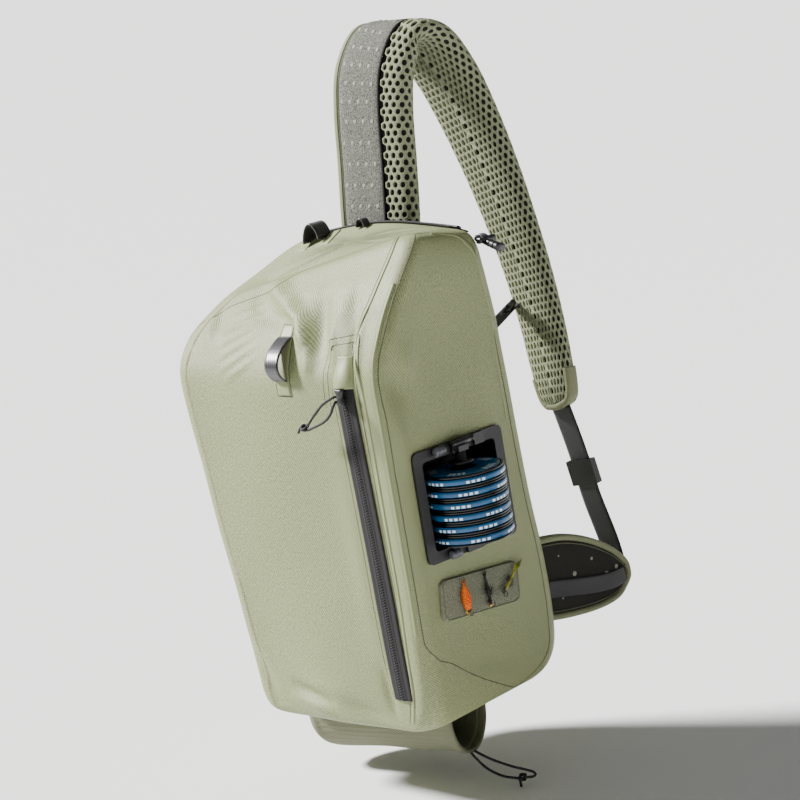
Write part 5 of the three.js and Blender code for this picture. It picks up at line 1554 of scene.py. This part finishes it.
@dataclass
class Strap:
    """The padded shoulder strap and the short wing at the bag's lower right corner."""

    finishes: Finishes
    width: float = 94.0
    thick: float = 24.0
    foot_y: float = 75.69
    pad_y: float = 12.0
    reach: float = 100.0
    rise: float = 606.0
    hole_pitch: float = 7.9
    wing_y: float = 93.7907
    wing_reach: float = 94.0
    wing_height: float = 78.0
    wing_thick: float = 14.0
    wing_fill: float = 0.72
    side_power: float = 0.45
    face_power: float = 0.8

    def station(self, t: Array) -> dict[str, Array]:
        """The pad's middle, its three directions and its size at places t.

        across is X less its part along the pad, and out is across x along.
        """
        def middle(where: Array) -> Array:
            """The pad's middle line."""
            row = STRAP.at(where)
            y = self.foot_y + self.pad_y + row["y"] * self.reach
            return np.stack([row["x"] * WIDTH, y, row["z"] * self.rise], -1)

        t = np.asarray(t, float)
        step = 0.5 / 28
        along = unit(middle(np.clip(t + step, 0, 1)) - middle(np.clip(t - step, 0, 1)))
        x = np.array([1.0, 0.0, 0.0])
        across = unit(x - along * along[..., :1])
        row = STRAP.at(t)
        return {
            "middle": middle(t), "along": along, "across": across, "out": unit(np.cross(across, along)),
            "half": row["width"] * self.width / 2, "thick": row["thick"] * self.thick / 2,
        }

    def point(self, t: Array, angle: Array, grow: float = 0.0) -> Array:
        """A point of the pad's section: half times a power of cos, thick times a power of sin.

        Args:
            t: Places along the pad.
            angle: The turn round its section, 0 on its +across edge, 90 degrees out.
            grow: Millimetres added to the section's half thickness.

        Returns:
            Points, in millimetres.
        """
        s = self.station(t)
        c, n = np.cos(angle), np.sin(angle)
        a = np.sign(c) * np.abs(c) ** self.side_power * (s["half"] + grow * 0.5)
        b = np.sign(n) * np.abs(n) ** self.face_power * (s["thick"] + grow)
        return s["middle"] + s["across"] * a[..., None] + s["out"] * b[..., None]

    def top_at(self, t: Array, share: Array, side: float, lift: float) -> Array:
        """A point over the pad's outer (side 1) or inner (side -1) face, share of the half
        width from its middle: the section's curve solved for that share, plus a lift."""
        s = self.station(t)
        share = np.clip(share, -0.995, 0.995)
        cos = np.abs(share) ** (1 / self.side_power)
        height = np.sqrt(1 - cos**2) ** self.face_power
        flat = s["middle"] + s["across"] * (share * s["half"])[..., None]
        return flat + s["out"] * ((height * s["thick"] + lift) * side)[..., None]

    def build_core(self) -> None:
        """The pad under the mesh, 1.9 mm below the pad's surface, painted near-black as the shade inside
        the mesh's holes.
        """
        t = np.linspace(0.012, 0.985, 150)
        angle = np.linspace(0, 2 * np.pi, 56, endpoint=False)
        points, faces = capped(self.point(t[:, None], angle[None, :], -1.9))
        piece = solid("strap_core", points, faces, self.finishes.core, stands_for=("strap_pad",))
        weld(piece)

    def build_mesh(self) -> None:
        """The spacer mesh: a cloth shell of hexagonal cells, each with one oval hole.

        The pad's inner face and edges are unrolled to a flat strip, girth against length.
        A hexagonal lattice of cells is laid over it. A cell joins its hexagon to an oval of
        twelve points by a ring of faces, and the shell gets a wall of yarn round each hole.
        """
        lengths = np.linspace(0, 1, 400)
        run = self.station(lengths)["middle"]
        far = distances(run)
        total = far[-1]
        pitch = self.hole_pitch
        # Rows of a hexagonal lattice lie 0.866 of a pitch apart.
        row_step = 0.866
        first, span = 0.012, 0.976
        rows = int(total / (pitch * row_step)) - 1
        angle_low, angle_high = math.radians(178.0), math.radians(443.0)
        fine = np.linspace(angle_low, angle_high, 300)
        middle = self.point(np.full(300, 0.3), fine)
        around = distances(middle)
        columns = int(around[-1] / pitch)
        # A cell's hexagon is its six corners and the middles of its six sides, all shared with
        # its neighbours. Its hole has twelve points too.
        r = np.arange(rows)[:, None]
        c = np.arange(columns)[None, :]
        centre_u = (c + 0.5 + 0.5 * (r % 2) - 0.25) / columns
        centre_v = (r + 0.5) / rows
        centre_u, centre_v = (a.ravel() for a in np.broadcast_arrays(centre_u, centre_v))
        keep = (centre_u > 0.5 / columns) & (centre_u < 1 - 0.5 / columns)
        centre_u, centre_v = centre_u[keep], centre_v[keep]
        turn = np.radians(30 * np.arange(12))
        hexagon = np.where(np.arange(12) % 2 == 0, 0.5, 0.5 / math.cos(math.pi / 6))
        points, faces = [], []
        scale_u, scale_v = 1.0 / columns, 1.0 / rows / row_step
        for ring, lift, squeeze in (
            (hexagon, -0.1, 1), (np.full(12, 0.43), 0.5, 0.86), (np.full(12, 0.36), 0.1, 0.86),
            (np.full(12, 0.35), -1.9, 0.86),
        ):
            u = centre_u[:, None] + np.cos(turn)[None] * ring[None] * scale_u * squeeze
            v = centre_v[:, None] + np.sin(turn)[None] * ring[None] * scale_v
            u, v = np.clip(u, 0, 1), np.clip(v, 0.0, 1.0)
            t = np.interp(v * total, far, lengths) * span + first
            angle = np.interp(u * around[-1], around, fine)
            points.append(self.point(t, angle, lift))
        stack = np.stack(points, 1)
        n = len(centre_u)
        base = 48 * np.arange(n)[:, None]
        k = np.arange(12)[None, :]
        k2 = (k + 1) % 12
        for level in range(3):
            a, b = 12 * level, 12 * (level + 1)
            faces.append(
                np.stack([base + a + k, base + a + k2, base + b + k2, base + b + k], -1).reshape(-1, 4)
            )
        piece = solid(
            "strap_mesh", stack.reshape(-1, 3), np.concatenate(faces), self.finishes.mesh
        )
        weld(piece, 0.02)
        self.settle(piece)

    def settle(self, piece: Piece) -> None:
        """Turns a shell's faces away from the pad's middle line."""
        mesh = piece.data
        count = len(mesh.polygons)
        centre = np.zeros(3 * count)
        mesh.polygons.foreach_get("center", centre)
        normal = np.zeros(3 * count)
        mesh.polygons.foreach_get("normal", normal)
        centre, normal = centre.reshape(-1, 3), normal.reshape(-1, 3)
        line = place(self.station(np.linspace(0, 1, 200))["middle"])
        near = np.concatenate([
            np.argmin(((part[:, None] - line[None]) ** 2).sum(-1), axis=1)
            for part in np.array_split(centre, 40)
        ])
        wrong = ((centre - line[near]) * normal).sum(-1) < 0
        if wrong.mean() > 0.5:
            mesh.flip_normals()

    def build_face(self) -> None:
        """The knit face: a quilted sheet on the pad's outer side with raised pale dots."""
        t = np.linspace(2 / 28 - 0.045, 0.972, 176)
        share = np.linspace(-0.84, 0.36, 60)
        gt, gs = np.meshgrid(t, share, indexing="ij")
        crown = 1.4 * (1 - ((gs + 0.24) / 0.61) ** 8)
        low = self.top_at(gt, gs, 1, -2.0)
        high = self.top_at(gt, gs, 1, 0.3) + self.station(gt)["out"] * np.maximum(crown, 0)[..., None]
        points, faces = between(low, high)
        piece = solid(
            "strap_knit", points, facing(points, faces), self.finishes.knit,
            stands_for=("strap_face",),
        )
        weld(piece)
        rows, columns = 33, 6
        dots = [(k, j) for k in range(rows) for j in range(columns)]
        where = np.array(
            [
                [0.04 + 0.87 * (k + 0.5) / rows, -0.66 + 0.25 * j + (0.125 if k % 2 else 0.0)]
                for k, j in dots
            ]
        )
        where = where[where[:, 1] < 0.3]
        self.dots(
            "strap_dots", self.top_at(where[:, 0], where[:, 1], 1, 1.65), self.station(where[:, 0]), 2.3
        )
        # The seam lines use the same near-black finish: painted shade in the seams' grooves.
        for name, share in (("left", -0.815), ("right", 0.375)):
            line = np.linspace(t[0], t[-1], 240)
            path = self.top_at(line, np.full(240, share), 1, 0.4)
            swept(
                "strap_seam_" + name, path, self.station(line)["out"],
                round_profile(1.5 if share < 0 else 2.6, 1.4, 8), self.finishes.core,
            )

    def dots(self, name: str, centres: Array, frames: dict[str, Array], radius: float) -> None:
        """Printed dots: low domes of eight sides, one at each centre."""
        angle = np.linspace(0, 2 * np.pi, 8, endpoint=False)
        rings = []
        for r, h in ((1.0, -0.4), (0.95, 0.12), (0.5, 0.28), (0.0, 0.32)):
            across = frames["across"][:, None] * (np.cos(angle) * r * radius)[None, :, None]
            along = frames["along"][:, None] * (np.sin(angle) * r * radius)[None, :, None]
            rings.append(centres[:, None] + (across + along) + frames["out"][:, None] * h)
        points = np.stack(rings, 1)
        k = np.arange(8)
        cell = np.concatenate(
            [
                np.stack([8 * a + k, 8 * a + (k + 1) % 8, 8 * (a + 1) + (k + 1) % 8, 8 * (a + 1) + k], -1)
                for a in range(3)
            ]
        )
        faces = (cell[None] + 32 * np.arange(len(centres))[:, None, None]).reshape(-1, 4)
        weld(solid(name, points.reshape(-1, 3), faces, self.finishes.dot))

    def build_edges(self) -> None:
        """The piping down the left edge and the binding round the strap's end."""
        t = np.linspace(0.02, 0.955, 260)
        s = self.station(t)
        edge = s["middle"] - s["across"] * (s["half"] - 2.0)[:, None]
        path = edge + s["out"] * (s["thick"] * 0.3)[:, None]
        swept(
            "strap_binding_left", path, s["out"], round_profile(12.0, 11.0, 18, 0.8),
            self.finishes.binding, stands_for=("strap_piping",),
        )
        line = path + s["out"] * 5.6 + s["across"] * 1.5
        swept(
            "strap_binding_stitch", line, s["out"], round_profile(0.8, 0.5, 6), self.finishes.seam,
        )
        low = 0.872
        right = np.linspace(low, 0.999, 60)
        left = right[::-1]
        edge_r, edge_l = self.station(right), self.station(left)
        a = edge_r["middle"] + edge_r["across"] * (edge_r["half"] - 2.2)[:, None]
        b = edge_l["middle"] - edge_l["across"] * (edge_l["half"] - 2.2)[:, None]
        rim = spline(
            np.concatenate([a[::6], [edge_r["middle"][-1] + edge_r["along"][-1] * 2.0], b[::6]]), 150
        )
        swept(
            "strap_end_rim", rim, self.station(np.full(150, 0.94))["out"],
            round_profile(7.0, 14.5, 18, 0.7), self.finishes.binding,
            stands_for=("strap_end_binding",),
        )

    def build_root(self) -> None:
        """The folded cloth edge across the strap's root, where it is sewn to the back."""
        s = self.station(np.full(40, 0.012))
        share = np.linspace(-0.97, 0.97, 40)
        line = s["middle"] + s["across"] * (share * s["half"])[:, None]
        path = line - s["out"] * (s["thick"] * 0.1)[:, None]
        swept(
            "strap_root_edge", path, s["out"], round_profile(7.0, 19.0, 18, 0.7), self.finishes.binding,
        )

    def wing_at(self, t: Array) -> dict[str, Array]:
        """The wing's middle, its directions and its size at places t."""
        def middle(where: Array) -> Array:
            """The wing's middle line."""
            row = WING.at(where)
            y = self.wing_y + row["y"] * self.wing_reach
            return np.stack([row["x"] * WIDTH, y, row["middle"] * HEIGHT], -1)

        t = np.asarray(t, float)
        along = unit(middle(np.clip(t + 0.02, 0, 1)) - middle(np.clip(t - 0.02, 0, 1)))
        row = WING.at(t)
        up = unit(np.array([0, 0, 1.0]) - along * along[..., 2:3])
        return {
            "middle": middle(t), "along": along, "up": up, "out": unit(np.cross(along, up)),
            "half": row["height"] * self.wing_height / 2, "thick": row["thick"] * self.wing_thick / 2,
        }

    def build_wing(self) -> None:
        """The wing: a thin cushion, a rolled rim round it, and a knit face painted near-black as the
        shade it lies in, with its stitch and dots; the wing's webbing is built in build_webbing.
        """
        t = np.linspace(0.0, 0.99, 90)
        angle = np.linspace(0, 2 * np.pi, 44, endpoint=False)
        s = self.wing_at(t)
        c, n = np.cos(angle), np.sin(angle)
        a = np.sign(c) * np.abs(c) ** 0.5
        b = np.sign(n) * np.abs(n) ** 0.9
        rise = s["up"][:, None] * (a[None] * s["half"][:, None])[..., None]
        swell = s["out"][:, None] * (b[None] * s["thick"][:, None] * self.wing_fill)[..., None]
        points, faces = capped(s["middle"][:, None] + rise + swell)
        # The cushion's near-black knit is painted shade.
        piece = solid(
            "wing_cushion", points, faces, self.finishes.wing_knit_in_shade,
            stands_for=("wing_pad", "wing_face"),
        )
        weld(piece)
        upper, lower = self.wing_at(t), self.wing_at(t[::-1])
        a = upper["middle"] + upper["up"] * (upper["half"] - 2.5)[:, None]
        b = lower["middle"] - lower["up"] * (lower["half"] - 2.5)[:, None]
        rim = spline(
            np.concatenate([a[::8], [upper["middle"][-1] + upper["along"][-1] * 1.5], b[::8]]), 220
        )
        swept(
            "wing_rim", rim, np.array([1.0, 0.15, 0.0]), round_profile(6.6, 12.5, 18, 0.8),
            self.finishes.binding,
        )
        stitch = spline(
            np.concatenate(
                [
                    a[::8] - upper["up"][::8] * 5.2, [upper["middle"][-1] - upper["along"][-1] * 4.5],
                    b[::8] + lower["up"][::8] * 5.2,
                ]
            ),
            220,
        )
        out = self.wing_at(np.full(220, 0.5))["out"]
        side = 1.0 if out[0, 0] > 0 else -1.0
        swept(
            "wing_stitch", stitch + np.array([4.6, 0, 0]), out * side, round_profile(1.2, 0.9, 8),
            self.finishes.seam,
        )
        spots = np.array(
            [
                [0.16, 0.62], [0.44, 0.58], [0.3, 0.08], [0.6, 0.1], [0.2, -0.62], [0.5, -0.66],
                [0.72, 0.45],
            ]
        )
        at = self.wing_at(spots[:, 0])
        lift = at["thick"] * self.wing_fill * np.sqrt(1 - np.abs(spots[:, 1]) ** 4) ** 0.9
        flat = at["middle"] + at["up"] * (spots[:, 1] * at["half"] * 0.8)[:, None]
        centre = flat + at["out"] * ((lift - 0.1) * side)[:, None]
        self.dots(
            "wing_dots", centre, {"across": at["up"], "along": at["along"], "out": at["out"] * side}, 2.6
        )

    def build_webbing(self) -> None:
        """The wing's webbing, the lower webbing to the strap and the upper stabilizer."""
        t = np.linspace(0.06, 0.86, 60)
        s = self.wing_at(t)
        side = 1.0 if s["out"][0, 0] > 0 else -1.0
        # The band runs 0.16 of the wing's height below its middle line, and rises to it at
        # the tip.
        line = s["middle"] - s["up"] * (0.32 * s["half"] * (1 - t))[:, None]
        path = line + s["out"] * ((s["thick"] * self.wing_fill + 1.3) * side)[:, None]
        path = path - s["up"] * (4.0 * np.sin(np.pi * (t - 0.06) / 0.8) - 2.0)[:, None]
        body = Body(self.finishes)
        body.band(
            "wing_band", path, s["up"][30], 16.0, 2.0, self.finishes.webbing, "webbing",
            ("wing_webbing",),
        )
        end = self.station(np.array(1.0))
        tip = self.wing_at(np.array(0.93))
        start = end["middle"] + end["along"] * 2.5
        finish = tip["middle"] + np.array([-20, 0, 7.8])
        u = np.linspace(0, 1, 60)
        path = mix(start[None], finish[None], u[:, None])
        path[:, 0] += 13 * smooth(0.5, 1.0, u)
        path[:, 1] += 6 * np.sin(np.pi * u)
        piece = body.band(
            "lower_strap_webbing", path, np.array([1.0, 0, 0]), 25.0, 2.0, self.finishes.webbing,
            "webbing", ("lower_webbing",),
        )
        foot = np.array([90.0, 0.0, 326.3])
        foot[1] = FORM.on(Face.BACK, np.array(90.0), np.array(326.3))[0][1] + 1.0
        top = self.station(np.array(0.77))
        head = top["middle"] - top["across"] * (top["half"] - 1.5) - top["out"] * (top["thick"] * 0.25)
        path = mix(foot[None], head[None], u[:, None])
        piece = body.band(
            "stabilizer_ribbon", path, np.array([1.0, 0, 0]), 15.0, 1.6, self.finishes.webbing, "webbing",
            ("stabilizer_strap",),
        )
        grip = path[40:50]
        swept(
            "stabilizer_clasp", grip, np.array([0, -1.0, 0.3]), round_profile(17.0, 6.0, 16, 0.4),
            self.finishes.plastic, stands_for=("stabilizer_buckle",),
            scale=1 + 0.12 * np.abs(np.linspace(-1, 1, 10)) ** 3,
        )

    def build_haul(self) -> None:
        """The small haul loop's tip that shows between the strap's root and the zip."""
        x = np.linspace(0, 1, 30)
        base, _ = FORM.top(np.array([-7.0]), np.array([52.0]))
        path = base[0] + np.stack([5.5 * np.cos(np.pi * x), 0 * x, 8.0 * np.sin(np.pi * x) + 0.4], -1)
        Body(self.finishes).band(
            "haul_loop_tip", path, np.array([0, 1.0, 0]), 8.0, 1.6, self.finishes.loop, "webbing", ()
        )


@dataclass
class Sleeve:
    """The round stretch sleeve under the bag, with its ribbed knit and its folded hem."""

    finishes: Finishes
    radius: float = 36.0
    wall: float = 2.5
    start: tuple[float, float, float] = (-120.0, 5.4, -22.32)
    end: tuple[float, float, float] = (52.0, 21.6, -12.96)
    rounding: float = 14.0

    def build(self) -> None:
        """A closed-ended tube: outside, mouth, inside and inner end, and the hem ring."""
        a, b = np.array(self.start), np.array(self.end)
        along = unit(b - a)
        up = unit(np.array([0, 0, 1.0]) - along * along[2])
        side = np.cross(up, along)
        length = np.linalg.norm(b - a)
        r, w, e = self.radius, self.wall, self.rounding
        quarter = np.linspace(0, np.pi / 2, 10)
        outer = [(0.0, 0.0)] + [(r - e + e * math.sin(v), e - e * math.cos(v)) for v in quarter]
        outer += [(r, z) for z in np.linspace(e + 3, length, 60)]
        inner = [(r - w, z) for z in np.linspace(length, e + 3, 30)]
        inner += [
            (r - w - e + e * math.sin(v), w + e - e * math.cos(v))
            for v in quarter[::-1]
        ] + [(0.0, w)]
        outline = np.array(outer + inner)
        angle = np.linspace(0, 2 * np.pi, 144, endpoint=False)
        turn = np.cos(angle)[None, :, None], np.sin(angle)[None, :, None]
        ring = outline[:, None, 0:1] * (side[None, None] * turn[0] + up[None, None] * turn[1])
        core = a + along * outline[:, None, 1:2]
        points = core + ring
        slant = -0.3 * (points[..., 1] - core[..., 1]) * (outline[:, 1:2] / length).clip(0, 1) ** 2
        points = points + along * slant[..., None]
        # Long soft ribs run along the knit, and the cloth draws in a little between creases.
        creases = 0.8 * np.sin(outline[:, 1] / 17.0)[:, None] * np.cos(3 * angle)[None, :]
        swell = 0.35 * np.sin(angle * 40)[None, :] + creases
        away = unit(ring + 1e-9)
        outside = (outline[:, 1:2] > e) & (outline[:, :1] > r - 0.5)
        points = points + away * np.where(outside, swell - 0.5, 0.0)[..., None]
        # The sleeve is welded to the bag's foot, and stays just under its skin.
        points[..., 2] = np.minimum(
            points[..., 2], np.where(outline[:, :1] > r - 0.5, self.ceiling(points), 1e9)
        )
        uv = np.stack(np.broadcast_arrays(angle[None, :] * r, outline[:, 1:2]), -1)
        piece = solid(
            "sleeve_knit", points.reshape(-1, 3), grid_faces(len(outline), 144, False, True),
            self.finishes.rib, uv.reshape(-1, 2), stands_for=("bottle_sleeve",),
        )
        weld(piece)
        hem = b + along * 3.6
        angle = np.linspace(0, 2 * np.pi, 120, endpoint=False)
        path = hem + 35.9 * (side * np.cos(angle)[:, None] + up * np.sin(angle)[:, None])
        path = path + along * (-0.3 * (path[:, 1] - hem[1]))[:, None]
        radial = unit(path - hem)
        swept(
            "sleeve_hem_roll", path, radial, round_profile(7.6, 3.6, 16, 0.6), self.finishes.hem,
            stands_for=("sleeve_hem",), closed=True,
        )

    def ceiling(self, points: Array) -> Array:
        """The height of the body's foot over points: its lowest section's heights."""
        plan = BODY_PLAN.at(np.zeros(points.shape[:2]))
        left, right = plan["left"] * WIDTH, plan["right"] * WIDTH
        front, back = plan["frontL"] * DEPTH, plan["back"] * DEPTH
        u = np.clip((points[..., 0] - left) / (right - left), 0, 1)
        v = np.clip((points[..., 1] - front) / (back - front), 0, 1)
        return FORM.heights(np.zeros(points.shape[:2]), u, v) + 0.8


# The room


class Studio:
    """A pale floor, three soft lights, a pale world and the photograph's camera."""

    camera_at = (1825.4, -1550.8, 739.2)
    target = (62.987, 0.0, 290.614)
    roll_degrees = 9.488
    lens = 120.24

    def build_floor(self, finish: Material) -> None:
        """A flat square just below the bag's lowest point."""
        low = min(corner[2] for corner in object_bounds()) - 0.0005
        size = 300.0
        mesh = bpy.data.meshes.new("floor")
        mesh.from_pydata(
            [(-size, -size, low), (size, -size, low), (size, size, low), (-size, size, low)], [],
            [(0, 1, 2, 3)],
        )
        mesh.materials.append(finish)
        link(mesh, "floor")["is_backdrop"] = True

    def light(
        self, name: str, at: tuple[float, float, float], aim: tuple[float, float, float], size: float,
        power: float, kind: str = "AREA",
    ) -> None:
        """A soft light that looks at a point.

        Args:
            name: Its name.
            at: Where it is, in metres.
            aim: The point.
            size: A square light's side in metres, or a sun's width in degrees.
            power: Watts, or a sun's watts on each square metre.
            kind: AREA or SUN.
        """
        lamp = bpy.data.lights.new(name, kind)
        if kind == "SUN":
            lamp.angle = math.radians(size)
        else:
            lamp.size = size
        lamp.energy = power
        holder = bpy.data.objects.new(name, lamp)
        bpy.context.scene.collection.objects.link(holder)
        holder.location = at
        holder.rotation_euler = (Vector(aim) - Vector(at)).to_track_quat("-Z", "Y").to_euler()
        holder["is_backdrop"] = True

    def build_lights(self) -> None:
        """A wide key from the upper left front, a weak fill, a top light and a pale world."""
        middle = (0.0, -0.13, -0.35)
        self.light("key", (-2.7, -1.5, 2.0), middle, 9.0, 13.4, "SUN")
        self.light("fill", (2.6, -0.6, 0.4), middle, 2.2, 0.9)
        self.light("top", (-0.1, 0.5, 2.2), middle, 2.0, 5.0)
        world = bpy.data.worlds.new("room")
        world.use_nodes = True
        ground = world.node_tree.nodes["Background"]
        ground.inputs["Color"].default_value = linear("#fcfcfb")
        ground.inputs["Strength"].default_value = 0.2
        bpy.context.scene.world = world

    def build_camera(self) -> None:
        """The photograph's viewpoint: aimed at a point, then rolled so that its top leans left."""
        data = bpy.data.cameras.new("camera")
        data.lens, data.sensor_width = self.lens, 36.0
        holder = bpy.data.objects.new("camera", data)
        bpy.context.scene.collection.objects.link(holder)
        at, aim = (Vector(place(np.array(p)).tolist()) for p in (self.camera_at, self.target))
        turn = (aim - at).to_track_quat("-Z", "Y").to_matrix().to_4x4()
        roll = Matrix.Rotation(math.radians(-self.roll_degrees), 4, "Z")
        holder.matrix_world = Matrix.Translation(at) @ turn @ roll
        data.clip_end = 2000.0
        bpy.context.scene.camera = holder


def main() -> None:
    """Builds every sub-assembly in turn, then the room."""
    logging.basicConfig(level=logging.INFO, format="%(message)s")
    finishes = Finishes()
    body = Body(finishes)
    strap = Strap(finishes)
    holder = SpoolHolder(finishes)
    studio = Studio()
    steps = (
        body.build_skin, body.build_seams, body.build_pocket_zip, body.build_loops, body.build_main_zip,
        Sleeve(finishes).build, strap.build_core, strap.build_mesh, strap.build_face, strap.build_edges,
        strap.build_root, strap.build_wing, strap.build_webbing, strap.build_haul, holder.build_spools,
        holder.build_fittings, holder.build_patch, holder.build_flies, Cords(finishes).build,
    )
    for step in steps:
        log.info("%s", step.__qualname__)
        step()
    studio.build_floor(finishes.floor)
    studio.build_lights()
    studio.build_camera()


if __name__ == "__main__":
    main()
